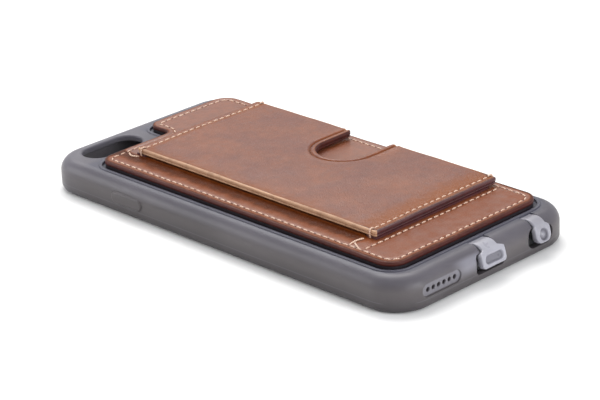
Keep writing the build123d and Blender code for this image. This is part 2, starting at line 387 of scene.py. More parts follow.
@dataclass(frozen=True)
class SoftPlasticFinish:
    """Frosted translucent soft plastic, cloudy inside, with a satin moulded skin.

    Attributes:
        name: the material's name.
        body: the main colour.
        cloud: the colour of the milky patches.
        shade: the colour of the painted shade low down, where less light comes through, and in the flaps'
            dimples.
        gloss: the roughness.
        glow: how much light spreads under the skin.
        shine: how strongly the skin reflects.
        shade_heights: the heights in millimetres between which the shade fades out.
        rim_round: how soft its sharp rims look, in millimetres.
    """

    name: str
    body: Colour
    cloud: Colour
    shade: Colour
    gloss: float = 0.36
    glow: float = 0.3
    shine: float = 0.5
    shade_heights: tuple[float, float] = (-1.0, 7.5)
    rim_round: float = 0.0

    def patches(self, shader: Shader, colour: bpy.types.NodeSocket) -> bpy.types.NodeSocket:
        """Return the colour with any patches of its own."""
        return colour

    def relief(self, shader: Shader) -> Num:
        """Return the height of the moulded skin, from 0 to 1."""
        return shader.noise(0.35, 2.0) * 0.2 + shader.noise(5.0, 1.0) * 0.8

    def material(self) -> bpy.types.Material:
        """Return the plastic: milky clouds, a painted shade at the foot and in dimples, a fine moulded
        texture.
        """
        shader = Shader(self.name)
        milky = shader.noise(26.0, 3.0, shader.stretched((0.6, 1.0, 1.8))).step(0.34, 0.7)
        wisps = shader.noise(7.0, 4.0, shader.stretched((0.35, 1.0, 2.4))).step(0.4, 0.75)
        height = shader.axes()[2]
        foot = 1.0 - height.step(*self.shade_heights)
        colour = shader.mix(milky * 0.6, self.body, self.cloud)
        colour = shader.mix(wisps * 0.3, colour, self.cloud)
        # painted shade: darker towards the foot
        colour = shader.mix(foot * 0.7, colour, self.shade)
        # painted shade in the flaps' dimples, carried by the mesh attribute
        colour = shader.mix(shader.attribute("burnish_and_shade") * 0.75, colour, self.shade)
        roughness = self.gloss + (shader.noise(3.0, 4.0) - 0.5) * 0.2
        return shader.finish(
            Base_Color=self.patches(shader, colour),
            Roughness=roughness.clamped(),
            Normal=shader.bump(self.relief(shader), 0.05, 0.6, self.rim_round),
            Subsurface_Weight=self.glow,
            Subsurface_Radius=(0.9, 0.9, 1.0),
            Subsurface_Scale=2.2 * MM,
            Specular_IOR_Level=self.shine,
            Coat_Weight=0.1,
            Coat_Roughness=0.3,
            IOR=1.48,
        )


@dataclass(frozen=True)
class BumperFinish(SoftPlasticFinish):
    """The bumper's plastic, milkier in the speaker grille, with painted shade beside the leather, a painted
    reflection on its shoulders and painted highlights at its ends.

    Attributes:
        grille_place: the y and z of the grille's middle.
        grille_size: the grille's length and height.
        end_depth: the x past which the grille's patch may show.
        seat: the x and y of the leather seat's corners, low then high.
        seat_corner: the radius of the seat's corners.
        window_side: the x and y inside which the camera window's corner keeps its colour.
        seat_shade_reach: how far the painted shade reaches from the seat.
        frost_and_highlight: the colour of the grille and the parting line, and of the painted highlights.
        shoulder_reflection: the colour of the cool painted reflection on the upper shoulders.
        seat_shade: the colour of the painted shade beside the seat.
        parting_height: the height of the parting line round the sides.
        parting_sides: the x and the y past which the line may show.
        port_highlight_place: the y of the painted highlight beside the charging port.
        camera_end_highlight: the x before which the camera end is lighter with a painted highlight, and
            where that fades out.
    """

    grille_place: tuple[float, float] = (-19.5, 5.35)
    grille_size: tuple[float, float] = (15.0, 3.7)
    end_depth: float = 70.6
    seat: tuple[float, float, float, float] = (-64.4, -31.3, 64.9, 31.4)
    seat_corner: float = 6.4
    window_side: tuple[float, float] = (-55.0, -3.5)
    seat_shade_reach: float = 3.4
    frost_and_highlight: Colour = (0.34, 0.34, 0.4)
    shoulder_reflection: Colour = (0.085, 0.088, 0.135)
    seat_shade: Colour = (0.05, 0.053, 0.085)
    parting_height: float = 2.9
    parting_sides: tuple[float, float] = (70.6, 35.0)
    port_highlight_place: float = -7.0
    camera_end_highlight: tuple[float, float] = (-71.0, -50.0)

    def grille_patch(self, x: Num, y: Num, z: Num) -> Num:
        """Return 1 in the grille's capsule, found by its distance from a straight spine."""
        round_end = self.grille_size[1] / 2
        straight = self.grille_size[0] / 2 - round_end
        run = ((y - self.grille_place[0]).magnitude() - straight).at_least(0.0)
        reach = (run**2 + (z - self.grille_place[1]) ** 2) ** 0.5
        capsule_share = 1.0 - reach.step(round_end - 0.35, round_end)
        return capsule_share * x.step(self.end_depth, self.end_depth + 0.2)

    def seat_shade_band(self, x: Num, y: Num, z: Num) -> Num:
        """Return 1 beside the seat, fading outwards, found by its distance from a round box; this band takes
        painted shade.
        """
        x1, y1, x2, y2 = self.seat
        corner = self.seat_corner
        across = ((x - (x1 + x2) / 2).magnitude() - (x2 - x1) / 2 + corner).at_least(0.0)
        down = ((y - (y1 + y2) / 2).magnitude() - (y2 - y1) / 2 + corner).at_least(0.0)
        reach = (across**2 + down**2) ** 0.5 - corner
        off_window = x.step(self.window_side[0] - 3.0, self.window_side[0]).at_least(
            y.step(self.window_side[1] - 1.0, self.window_side[1] + 1.0)
        )
        return (1.0 - reach.step(0.3, self.seat_shade_reach)) * off_window * z.step(6.0, 8.5)

    def port_highlight(self, x: Num, y: Num, z: Num) -> Num:
        """Return 1 on the port end's upper face between the grille and the charging port, where a highlight
        is painted.
        """
        across = 1.0 - (y - self.port_highlight_place).magnitude().step(2.0, 9.0)
        return across * z.step(3.0, 6.5) * x.step(69.8, 71.0)

    def patches(self, shader: Shader, colour: bpy.types.NodeSocket) -> bpy.types.NodeSocket:
        """Return the colour with a painted reflection on the shoulders, a painted shade band beside the
        seat, a parting line, painted highlights at both ends and the grille's milky patch.
        """
        x, y, z = shader.axes()
        line = 1.0 - (z - self.parting_height).magnitude().step(0.03, 0.2)
        end, side = self.parting_sides
        line = line * (y.magnitude().step(side, side + 0.6) + x.magnitude().step(end, end + 0.6)).clamped()
        # painted reflection: a cool tint mixed over the upper shoulders
        colour = shader.mix(z.step(5.5, 9.5) * 0.3, colour, self.shoulder_reflection)
        # painted shade in the gutter beside the leather seat
        colour = shader.mix(self.seat_shade_band(x, y, z) * 0.62, colour, self.seat_shade)
        colour = shader.mix(line * 0.1, colour, self.frost_and_highlight)
        # painted highlight on the port end's upper shoulder
        colour = shader.mix(self.port_highlight(x, y, z) * 0.45, colour, self.frost_and_highlight)
        # painted highlight: the camera end made lighter
        colour = shader.mix((1.0 - x.step(*self.camera_end_highlight)) * 0.14, colour, self.frost_and_highlight)
        return shader.mix(self.grille_patch(x, y, z) * 0.28, colour, self.frost_and_highlight)


@dataclass(frozen=True)
class ThreadFinish:
    """Waxed three-ply sewing thread, twisted, a little dirty, with painted shade between its plies.

    Attributes:
        name: the material's name.
        lit: the thread's main colour.
        soil_and_ply_shade: the colour of the painted shade between the plies, and the colour where it is
            rubbed.
        twist_pitch: the length of one turn of the plies, in millimetres.
    """

    name: str
    lit: Colour
    soil_and_ply_shade: Colour
    twist_pitch: float = 0.62

    def material(self) -> bpy.types.Material:
        """Return the thread: slanted plies from the piece's own UV map, with fibre fuzz."""
        shader = Shader(self.name)
        uv = shader.node("ShaderNodeUVMap", {"uv_map": "thread"}).outputs[0]
        parts = shader.node("ShaderNodeSeparateXYZ", sockets={0: uv})
        along, around = (Num(shader, parts.outputs[axis]) for axis in ("X", "Y"))
        turns = along / self.twist_pitch + around
        plies = (turns * TURN).sine() * 0.5 + 0.5
        fuzz = shader.noise(0.3, 3.0)
        stain = shader.noise(5.0, 3.0).step(0.42, 0.72)
        # painted shade between the plies
        colour = shader.mix(1.0 - plies, self.lit, self.soil_and_ply_shade)
        colour = shader.mix(stain * 0.45, colour, self.soil_and_ply_shade)
        roughness = 0.55 + (fuzz - 0.5) * 0.3
        return shader.finish(
            Base_Color=colour,
            Roughness=roughness.clamped(),
            Normal=shader.bump(plies * 0.7 + fuzz * 0.3, 0.08, 0.8),
            Sheen_Weight=0.15,
        )


@dataclass(frozen=True)
class PlainFinish:
    """A matt face with fine mottling: fibre board, shadowed holes, the floor.

    Attributes:
        name: the material's name.
        face: the main colour.
        fleck: the colour of its flecks.
        gloss: the roughness.
        fleck_size: the flecks' width, in millimetres.
    """

    name: str
    face: Colour
    fleck: Colour
    gloss: float = 0.7
    fleck_size: float = 0.5

    def material(self) -> bpy.types.Material:
        """Return the mottled face."""
        shader = Shader(self.name)
        flecks = shader.noise(self.fleck_size, 3.0)
        return shader.finish(
            Base_Color=shader.mix(flecks.step(0.4, 0.75) * 0.5, self.face, self.fleck),
            Roughness=(self.gloss + (flecks - 0.5) * 0.2).clamped(),
            Normal=shader.bump(flecks, 0.05, 0.5),
        )


class Finishes:
    """Every material of the case, made once.

    Attributes:
        leather: the panel's leather.
        pocket_leather: the pocket's leather.
        pale_edge: the pocket's raw edges.
        dark_edge: the painted ends of the pocket.
        wine_edge: the painted edge of the panel and of the thumb notch.
        bumper: the bumper's plastic.
        flap: the port flaps' plastic.
        thread: the sewing thread.
        hole: the needle holes, painted shade.
        board: the board under the leather.
    """

    def __init__(self) -> None:
        """Make the materials."""
        self.leather = LeatherFinish(
            "tan_leather_panel",
            body=srgb(116, 62, 42),
            warm=srgb(132, 70, 36),
            amber=srgb(122, 60, 16),
            deep=srgb(62, 25, 7),
            gloss=0.4,
            shine=0.08,
            veil=0.9,
            veil_fade=(0.2, 0.9),
        ).material()
        self.pocket_leather = LeatherFinish(
            "tan_leather_pocket",
            body=srgb(112, 58, 38),
            warm=srgb(130, 69, 34),
            amber=srgb(130, 68, 12),
            deep=srgb(68, 29, 18),
            gloss=0.36,
            shine=0.24,
            veil=0.36,
        ).material()
        self.pale_edge = EdgeFinish("raw_pale_edge", srgb(210, 168, 134), srgb(128, 84, 58)).material()
        self.dark_edge = EdgeFinish("painted_dark_edge", srgb(86, 48, 50), srgb(42, 20, 26), 0.32).material()
        self.wine_edge = EdgeFinish(
            "painted_wine_edge", srgb(84, 38, 30), srgb(36, 16, 18), 0.42, shine=0.22
        ).material()
        self.bumper = BumperFinish(
            "smoke_soft_plastic",
            body=srgb(79, 74, 75),
            cloud=srgb(100, 95, 97),
            shade=srgb(50, 47, 51),
            gloss=0.42,
            shine=0.3,
            rim_round=0.4,
        ).material()
        self.flap = SoftPlasticFinish(
            "pale_soft_plastic",
            body=srgb(138, 136, 144),
            cloud=srgb(168, 168, 178),
            shade=srgb(84, 82, 92),
            gloss=0.3,
            shade_heights=(0.0, 6.5),
        ).material()
        self.thread = ThreadFinish("cream_thread", srgb(236, 210, 190), srgb(186, 144, 120)).material()
        self.hole = PlainFinish("painted_needle_hole_shade", srgb(30, 14, 12), srgb(18, 8, 8), 0.8).material()
        self.board = PlainFinish("black_fibre_board", srgb(30, 24, 30), srgb(52, 42, 48), 0.5).material()


# ------------------------------------------------------------------ mesh making
def bell(distance: np.ndarray, width: float) -> np.ndarray:
    """Return 1 at no distance, falling as e to the minus square of distance over width."""
    return np.exp(-((distance / width) ** 2))


def ease(share: np.ndarray) -> np.ndarray:
    """Return a share from 0 to 1 eased at both ends, as its square times 3 less twice itself."""
    return share**2 * (3 - 2 * share)


def rim_turns(sides: int) -> np.ndarray:
    """Return the angles of a ring's points, in radians."""
    return np.arange(sides) / sides * TURN


def at_marks(marks: np.ndarray | float, walked: np.ndarray, path: np.ndarray) -> np.ndarray:
    """Return the points of a path, n by 2, at given distances along it."""
    return np.stack([np.interp(marks, walked, path[:, axis]) for axis in (0, 1)], -1)


def grid_faces(rows: int, columns: int) -> np.ndarray:
    """Return the quads of a grid of points, each of whose rows joins up with itself."""
    row, column = np.meshgrid(np.arange(rows - 1), np.arange(columns), indexing="ij")
    after = (column + 1) % columns
    base, above = row * columns, (row + 1) * columns
    return np.stack([base + column, base + after, above + after, above + column], -1).reshape(-1, 4)


def grid_caps(rows: int, columns: int) -> np.ndarray:
    """Return the two faces that close the first and the last row of such a grid."""
    return np.stack([np.arange(columns)[::-1], np.arange(columns) + (rows - 1) * columns])


class Draft:
    """Gathers closed surfaces into one mesh, in millimetres."""

    def __init__(self) -> None:
        """Start with nothing."""
        self.points: list[np.ndarray] = []
        self.corners: list[np.ndarray] = []
        self.sizes: list[np.ndarray] = []
        self.slots: list[np.ndarray] = []
        self.values: list[np.ndarray] = []
        self.maps: list[np.ndarray] = []
        self.count = 0

    def add(
        self,
        points: np.ndarray,
        faces: Sequence[tuple[np.ndarray, int]],
        burnish_and_shade: np.ndarray | float = 0.0,
        uv: np.ndarray | None = None,
    ) -> None:
        """Add a closed surface, turned so that its faces point outwards.

        The signed volume is the sum over each face's fan of triangles of the product of
        its corners, a sixth of it, and the faces are reversed where it is negative.

        Args:
            points: its points, n by 3.
            faces: arrays of faces, each with the number of its material.
            burnish_and_shade: the attribute of that name, for each point.
            uv: map coordinates for each point.
        """
        volume = 0.0
        for corners, _ in faces:
            first = points[corners[:, :1]]
            second, third = points[corners[:, 1:-1]], points[corners[:, 2:]]
            volume += float((first * np.cross(second, third)).sum())
        for corners, slot in faces:
            turned = corners if volume > 0 else corners[:, ::-1]
            self.corners.append((turned + self.count).ravel())
            self.sizes.append(np.full(len(corners), corners.shape[1]))
            self.slots.append(np.full(len(corners), slot))
        self.points.append(points)
        self.values.append(np.broadcast_to(burnish_and_shade, len(points)).astype(float))
        self.maps.append(np.zeros((len(points), 2)) if uv is None else uv)
        self.count += len(points)

    def build(self, name: str, materials: Sequence[bpy.types.Material]) -> bpy.types.Object:
        """Make the object, shaded smooth.

        Args:
            name: the object's name.
            materials: its materials, in slot order.

        Returns:
            The object, at the origin, with its place in its mesh.
        """
        corners, sizes = np.concatenate(self.corners), np.concatenate(self.sizes)
        mesh = bpy.data.meshes.new(name)
        mesh.vertices.add(self.count)
        mesh.loops.add(len(corners))
        mesh.polygons.add(len(sizes))
        mesh.vertices.foreach_set("co", (np.concatenate(self.points) * MM).astype(np.float32).ravel())
        mesh.loops.foreach_set("vertex_index", corners.astype(np.int32))
        mesh.polygons.foreach_set("loop_start", (np.cumsum(sizes) - sizes).astype(np.int32))
        mesh.polygons.foreach_set("loop_total", sizes.astype(np.int32))
        mesh.polygons.foreach_set("material_index", np.concatenate(self.slots).astype(np.int32))
        mesh.polygons.foreach_set("use_smooth", np.ones(len(sizes), bool))
        for material in materials:
            mesh.materials.append(material)
        burnish_and_shade = mesh.attributes.new("burnish_and_shade", "FLOAT", "POINT")
        burnish_and_shade.data.foreach_set("value", np.concatenate(self.values).astype(np.float32))
        layer = mesh.uv_layers.new(name="thread")
        layer.uv.foreach_set("vector", np.concatenate(self.maps)[corners].astype(np.float32).ravel())
        mesh.update(calc_edges=True)
        mesh.validate()
        piece = bpy.data.objects.new(name, mesh)
        bpy.context.scene.collection.objects.link(piece)
        LOG.info("%s: %d points, %d faces", name, self.count, len(sizes))
        return piece


def dress(piece: bpy.types.Object, body: str, slot: Slot, *replaced: str) -> bpy.types.Object:
    """Let a piece ride on a body, hide the CAD nodes it stands for, and return it."""
    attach(piece, body)
    if replaced:
        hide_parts(*replaced)
    return piece


def box_mm(node: str) -> tuple[np.ndarray, np.ndarray]:
    """Return a CAD node's lowest and highest corner, in millimetres."""
    low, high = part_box(node)
    return np.array(low) / MM, np.array(high) / MM


def inside(points: np.ndarray, outline: np.ndarray) -> np.ndarray:
    """Tell which points lie inside a closed outline, by counting the edges to their right."""
    x, y = points[:, :1], points[:, 1:]
    x1, y1 = outline.T
    x2, y2 = np.roll(outline, -1, 0).T
    spans = (y1 > y) != (y2 > y)
    rise = np.where(y2 == y1, 1.0, y2 - y1)
    crossing = x1 + (y - y1) * (x2 - x1) / rise
    return (spans & (crossing > x)).sum(1) % 2 == 1


@dataclass
class Outline:
    """A closed outline of straight runs and round corners, counterclockwise.

    Attributes:
        corners: x, y and radius of each corner, in millimetres.
    """

    corners: Sequence[tuple[float, float, float]]

    def walk(self, step: float, inset: float = 0.0) -> tuple[np.ndarray, np.ndarray]:
        """Follow the outline.

        Each corner is an arc whose tangent length is its radius times the tangent of half
        the turn, and the runs between arcs are divided evenly.

        Args:
            step: the distance between points.
            inset: how far the outline is first moved inwards.

        Returns:
            The points and their outward normals, each n by 2.
        """
        data = np.array(self.corners, float)
        places = data[:, :2]
        ahead = np.roll(places, -1, 0) - places
        ahead /= np.linalg.norm(ahead, axis=1, keepdims=True)
        behind = np.roll(ahead, 1, 0)
        cross = behind[:, 0] * ahead[:, 1] - behind[:, 1] * ahead[:, 0]
        turns = np.arctan2(cross, (behind * ahead).sum(1))
        out_before = np.stack([behind[:, 1], -behind[:, 0]], 1)
        reaches = data[:, 2] * np.tan(np.abs(turns) / 2)
        points, normals = [], []
        for index, (place, radius, turn) in enumerate(zip(places, data[:, 2], turns)):
            side = np.sign(turn)
            start = place - behind[index] * reaches[index]
            centre = start - out_before[index] * radius * side
            count = max(3, math.ceil(radius * abs(turn) / step))
            angles = np.linspace(0, turn, count + 1)[:, None]
            first = out_before[index]
            across = first[0] * np.cos(angles) - first[1] * np.sin(angles)
            upwards = first[0] * np.sin(angles) + first[1] * np.cos(angles)
            spun = np.concatenate([across, upwards], 1)
            points.append(centre + spun * radius * side)
            normals.append(spun)
            following = (index + 1) % len(places)
            end = places[following] - ahead[index] * reaches[following]
            begin = points[-1][-1]
            count = max(1, round(float(np.linalg.norm(end - begin)) / step))
            shares = np.linspace(0, 1, count + 1)[1:-1, None]
            points.append(begin + (end - begin) * shares)
            normals.append(np.repeat(spun[-1:], len(shares), 0))
        walked, outward = np.concatenate(points), np.concatenate(normals)
        return walked - outward * inset, outward


Relief = Callable[[np.ndarray, np.ndarray, np.ndarray], np.ndarray]


@dataclass
class LeatherPlate:
    """A flat piece of leather with domed cut edges and a worked upper face.

    The edge is half a superellipse: at height share s from -1 to 1 it stands back by
    dome x (1 - (1 - |s|^p)^(1/p)). Rings then carry the upper face inwards, and the
    middle is filled with triangles between points of a grid. Height above the plate's top
    is a relief worked out from x, y and the inset.

    Attributes:
        outline: the cut.
        floor: the height of the underside.
        top: the height of the upper face.
        rings: the insets of the rings on the upper face.
        step: the distance between points along the outline.
        pitch: the distance between points in the middle.
        dome: how far the edge's rim stands back.
        power: the superellipse's power.
        edge_rows: the number of rows of faces down the edge.
        guides: further points of the middle, n by 2.
    """

    outline: Outline
    floor: float
    top: float
    rings: Sequence[float]
    step: float = 0.8
    pitch: float = 1.1
    dome: float = 0.42
    power: float = 2.4
    edge_rows: int = 8
    guides: np.ndarray = field(default_factory=lambda: np.zeros((0, 2)))

    def add_to(
        self,
        draft: Draft,
        relief: Relief,
        burnish_and_shade: Relief,
        edge_slot: Callable[[np.ndarray, np.ndarray], np.ndarray],
    ) -> None:
        """Add the plate to a draft.

        Args:
            draft: where it goes.
            relief: height above the plate's top, from x, y and inset.
            burnish_and_shade: the burnish attribute, from x, y and inset.
            edge_slot: the material number of an edge face, from its place and outward normal.
        """
        line, outward = self.outline.walk(self.step)
        count = len(line)
        shares = np.sin(np.linspace(-math.pi / 2, math.pi / 2, self.edge_rows + 1))
        backs = self.dome * (1 - (1 - np.abs(shares) ** self.power) ** (1 / self.power))
        middle, half = (self.top + self.floor) / 2, (self.top - self.floor) / 2
        insets = np.concatenate([backs, [x for x in self.rings if x > self.dome]])
        plan = line[None] - outward[None] * insets[:, None, None]
        depth = np.broadcast_to(insets[:, None], plan.shape[:2])
        raised = relief(plan[..., 0], plan[..., 1], depth)
        heights = np.repeat((middle + shares * half)[:, None], count, 1)
        lifts = np.clip(shares, 0, 1)[:, None] * raised[: len(shares)]
        heights = np.concatenate([heights + lifts, self.top + raised[len(shares) :]])
        rim = np.concatenate([plan, heights[..., None]], -1).reshape(-1, 3)

        inner = plan[-1]
        low, high = inner.min(0), inner.max(0)
        columns = np.arange(low[0] + self.pitch / 2, high[0], self.pitch)
        rows = np.arange(low[1] + self.pitch / 2, high[1], self.pitch)
        field_points = np.stack(np.meshgrid(columns, rows), -1).reshape(-1, 2)
        field_points = np.concatenate([field_points, self.guides])
        probe = self.outline.walk(self.step, self.rings[-1] + self.step * 0.4)[0]
        field_points = field_points[inside(field_points, probe)]
        flat = np.concatenate([inner, field_points])
        loop = np.stack([np.arange(count), (np.arange(count) + 1) % count], 1)
        verts, _, triangles, *_ = delaunay_2d_cdt(flat.tolist(), loop.tolist(), [], 1, 1e-6, False)
        spots = np.array([tuple(v) for v in verts])
        deep = np.full(len(spots), float(self.rings[-1]))
        deep[count:] = 1e3
        filled = self.top + relief(spots[:, 0], spots[:, 1], deep)
        middle_points = np.concatenate([spots, filled[:, None]], 1)
        triangles = np.array(triangles)
        triangles = triangles[inside(spots[triangles].mean(1), inner)] + len(rim) - count
        points = np.concatenate([rim[: len(rim) - count], middle_points])

        quads = grid_faces(len(insets), count)
        on_edge = quads[: self.edge_rows * count]
        slots = np.tile(edge_slot(line, outward), self.edge_rows)
        faces = [(quads[self.edge_rows * count :], 0), (triangles, 0), (np.arange(count)[None, ::-1], 0)]
        faces += [(on_edge[slots == slot], int(slot)) for slot in np.unique(slots)]
        shade = burnish_and_shade(points[:, 0], points[:, 1], np.concatenate([depth.ravel()[:-count], deep]))
        draft.add(points, faces, shade)


# ------------------------------------------------------------------ thread
@dataclass
class Seam:
    """A row of stitches along a line, with the needle holes between them.

    Attributes:
        places: the middle of each stitch, n by 2.
        headings: the angle of each stitch, in radians.
        height: the leather's height at a place, from x and y.
        pitch: the distance from one stitch to the next.
        length: the length of a stitch.
        radius: half the thread's thickness.
        rise: how far the thread's middle arches over the leather.
        sunk: how far the thread sinks into the leather.
        hole_size: half the length and half the width of a needle hole.
    """

    places: np.ndarray
    headings: np.ndarray
    height: Callable[[np.ndarray, np.ndarray], np.ndarray]
    pitch: float
    length: float = 1.95
    radius: float = 0.25
    rise: float = 0.13
    sunk: float = 0.03
    hole_size: tuple[float, float] = (0.42, 0.3)

    @staticmethod
    def along(line: np.ndarray, pitch: float, closed: bool) -> tuple[np.ndarray, np.ndarray]:
        """Space stitches evenly along a line of points.

        Args:
            line: the line, n by 2.
            pitch: the distance from one stitch to the next.
            closed: whether the line joins up with itself.

        Returns:
            The middle and the heading of each stitch.
        """
        path = np.concatenate([line, line[:1]]) if closed else line
        steps = np.diff(path, axis=0)
        lengths = np.linalg.norm(steps, axis=1)
        walked = np.concatenate([[0.0], np.cumsum(lengths)])
        count = max(1, round(walked[-1] / pitch))
        marks = (np.arange(count) + 0.5) * walked[-1] / count
        way = at_marks(marks + 0.2, walked, path) - at_marks(marks - 0.2, walked, path)
        return at_marks(marks, walked, path), np.arctan2(way[:, 1], way[:, 0])

    def add_to(self, draft: Draft, random: np.random.Generator) -> None:
        """Add the stitches, as slot 0, and their holes, as slot 1.

        A stitch is a tube of 6 sides whose middle line is a sine arch and whose thickness
        narrows to a point where it enters each hole. Each has its own small turn, length
        and rise.
        """
        count, sides, rows = len(self.places), 6, 7
        share = np.linspace(0, 1, rows)
        around = rim_turns(sides)
        girth = self.radius * np.clip(np.sin(share * math.pi), 0, 1) ** 0.42
        ring = np.stack([np.cos(around), np.sin(around)], 1)
        along = (share - 0.5)[:, None] * np.ones(sides)
        sideways = girth[:, None] * ring[:, 0]
        upwards = girth[:, None] * ring[:, 1] * 0.8
        arch = np.sin(share * math.pi)[:, None]
        sizes = self.length * (1 + random.uniform(-0.06, 0.06, count))
        rises = self.rise * (1 + random.uniform(-0.25, 0.25, count))
        turns = self.headings + random.normal(0, 0.05, count)
        local_x = sizes[:, None, None] * along
        local_y = np.broadcast_to(sideways, local_x.shape)
        local_z = upwards + rises[:, None, None] * arch - self.sunk
        cos, sin = np.cos(turns)[:, None, None], np.sin(turns)[:, None, None]
        x = self.places[:, 0][:, None, None] + local_x * cos - local_y * sin
        y = self.places[:, 1][:, None, None] + local_x * sin + local_y * cos
        base = self.height(self.places[:, 0], self.places[:, 1])[:, None, None]
        points = np.stack([x, y, base + local_z], -1).reshape(-1, 3)
        quads = grid_faces(rows, sides)
        starts = (np.arange(count) * rows * sides)[:, None, None]
        every = (quads[None] + starts).reshape(-1, 4)
        caps = (grid_caps(rows, sides)[None] + starts).reshape(-1, sides)
        uv = np.stack(np.broadcast_arrays(local_x, (around / TURN)[None, None, :]), -1)
        draft.add(points, [(every, 0), (caps, 0)], uv=uv.reshape(-1, 2))
        self._add_holes(draft)

    def _add_holes(self, draft: Draft) -> None:
        """Add the holes: a flat dark lens of 8 sides at each end of each stitch, painted shade in place of a
        hole.
        """
        sides, thick = 8, 0.02
        around = rim_turns(sides)
        way = np.stack([np.cos(self.headings), np.sin(self.headings)], 1)
        spots = np.concatenate([self.places + way * self.pitch / 2, self.places - way * self.pitch / 2])
        turns = np.concatenate([self.headings, self.headings])
        local = np.stack([np.cos(around), np.sin(around)], 1) * self.hole_size
        cos, sin = np.cos(turns)[:, None], np.sin(turns)[:, None]
        x = spots[:, :1] + local[:, 0] * cos - local[:, 1] * sin
        y = spots[:, 1:] + local[:, 0] * sin + local[:, 1] * cos
        base = np.broadcast_to(self.height(spots[:, 0], spots[:, 1])[:, None], x.shape)
        rings = [np.stack([x, y, base - 3 * thick], -1), np.stack([x, y, base + thick], -1)]
        points = np.stack(rings, 1).reshape(-1, 3)
        starts = (np.arange(len(spots)) * 2 * sides)[:, None, None]
        walls = (grid_faces(2, sides)[None] + starts).reshape(-1, 4)
        lids = (grid_caps(2, sides)[None] + starts).reshape(-1, sides)
        draft.add(points, [(walls, 1), (lids, 1)])


def thread_tube(draft: Draft, knots: Sequence[Sequence[float]], radius: float) -> None:
    """Add a length of thread that passes through a few points.

    The middle line is a Catmull-Rom curve through the knots, and a ring of 8 points is
    carried along it, square to its heading, narrowing at both ends.

    Args:
        draft: where it goes.
        knots: the points that it passes through, n by 3.
        radius: half the thread's thickness.
    """
    path = np.array(knots, float)
    padded = np.concatenate([2 * path[:1] - path[1:2], path, 2 * path[-1:] - path[-2:-1]])
    t = np.linspace(0, 1, 7)[:-1][None, :, None]
    p0, p1, p2, p3 = (padded[k : len(path) - 1 + k, None] for k in range(4))
    square, cube = 2 * p0 - 5 * p1 + 4 * p2 - p3, 3 * p1 - p0 - 3 * p2 + p3
    curve = 0.5 * (2 * p1 + (p2 - p0) * t + square * t**2 + cube * t**3)
    line = np.concatenate([curve.reshape(-1, 3), path[-1:]])
    heading = np.gradient(line, axis=0)
    heading /= np.linalg.norm(heading, axis=1, keepdims=True)
    side = np.cross(heading, np.array([0.31, 0.2, 0.93]))
    side /= np.linalg.norm(side, axis=1, keepdims=True)
    other = np.cross(heading, side)
    rows, sides = len(line), 8
    around = rim_turns(sides)
    girth = radius * np.clip(np.sin(np.linspace(0, 1, rows) * math.pi) * 4, 0.25, 1)
    cos, sin = np.cos(around)[None, :, None], np.sin(around)[None, :, None]
    points = line[:, None] + (side[:, None] * cos + other[:, None] * sin) * girth[:, None, None]
    walked = np.concatenate([[0], np.cumsum(np.linalg.norm(np.diff(line, axis=0), axis=1))])
    uv = np.stack(np.broadcast_arrays(walked[:, None], (around / TURN)[None]), -1).reshape(-1, 2)
    faces = [(grid_faces(rows, sides), 0), (grid_caps(rows, sides), 0)]
    draft.add(points.reshape(-1, 3), faces, uv=uv)


def painted_edge(line: np.ndarray, outward: np.ndarray) -> np.ndarray:
    """Return slot 1 for every edge face."""
    return np.ones(len(line), int)


def level(x: np.ndarray, y: np.ndarray, inset: np.ndarray) -> np.ndarray:
    """Return a relief of no height."""
    return np.zeros_like(x)


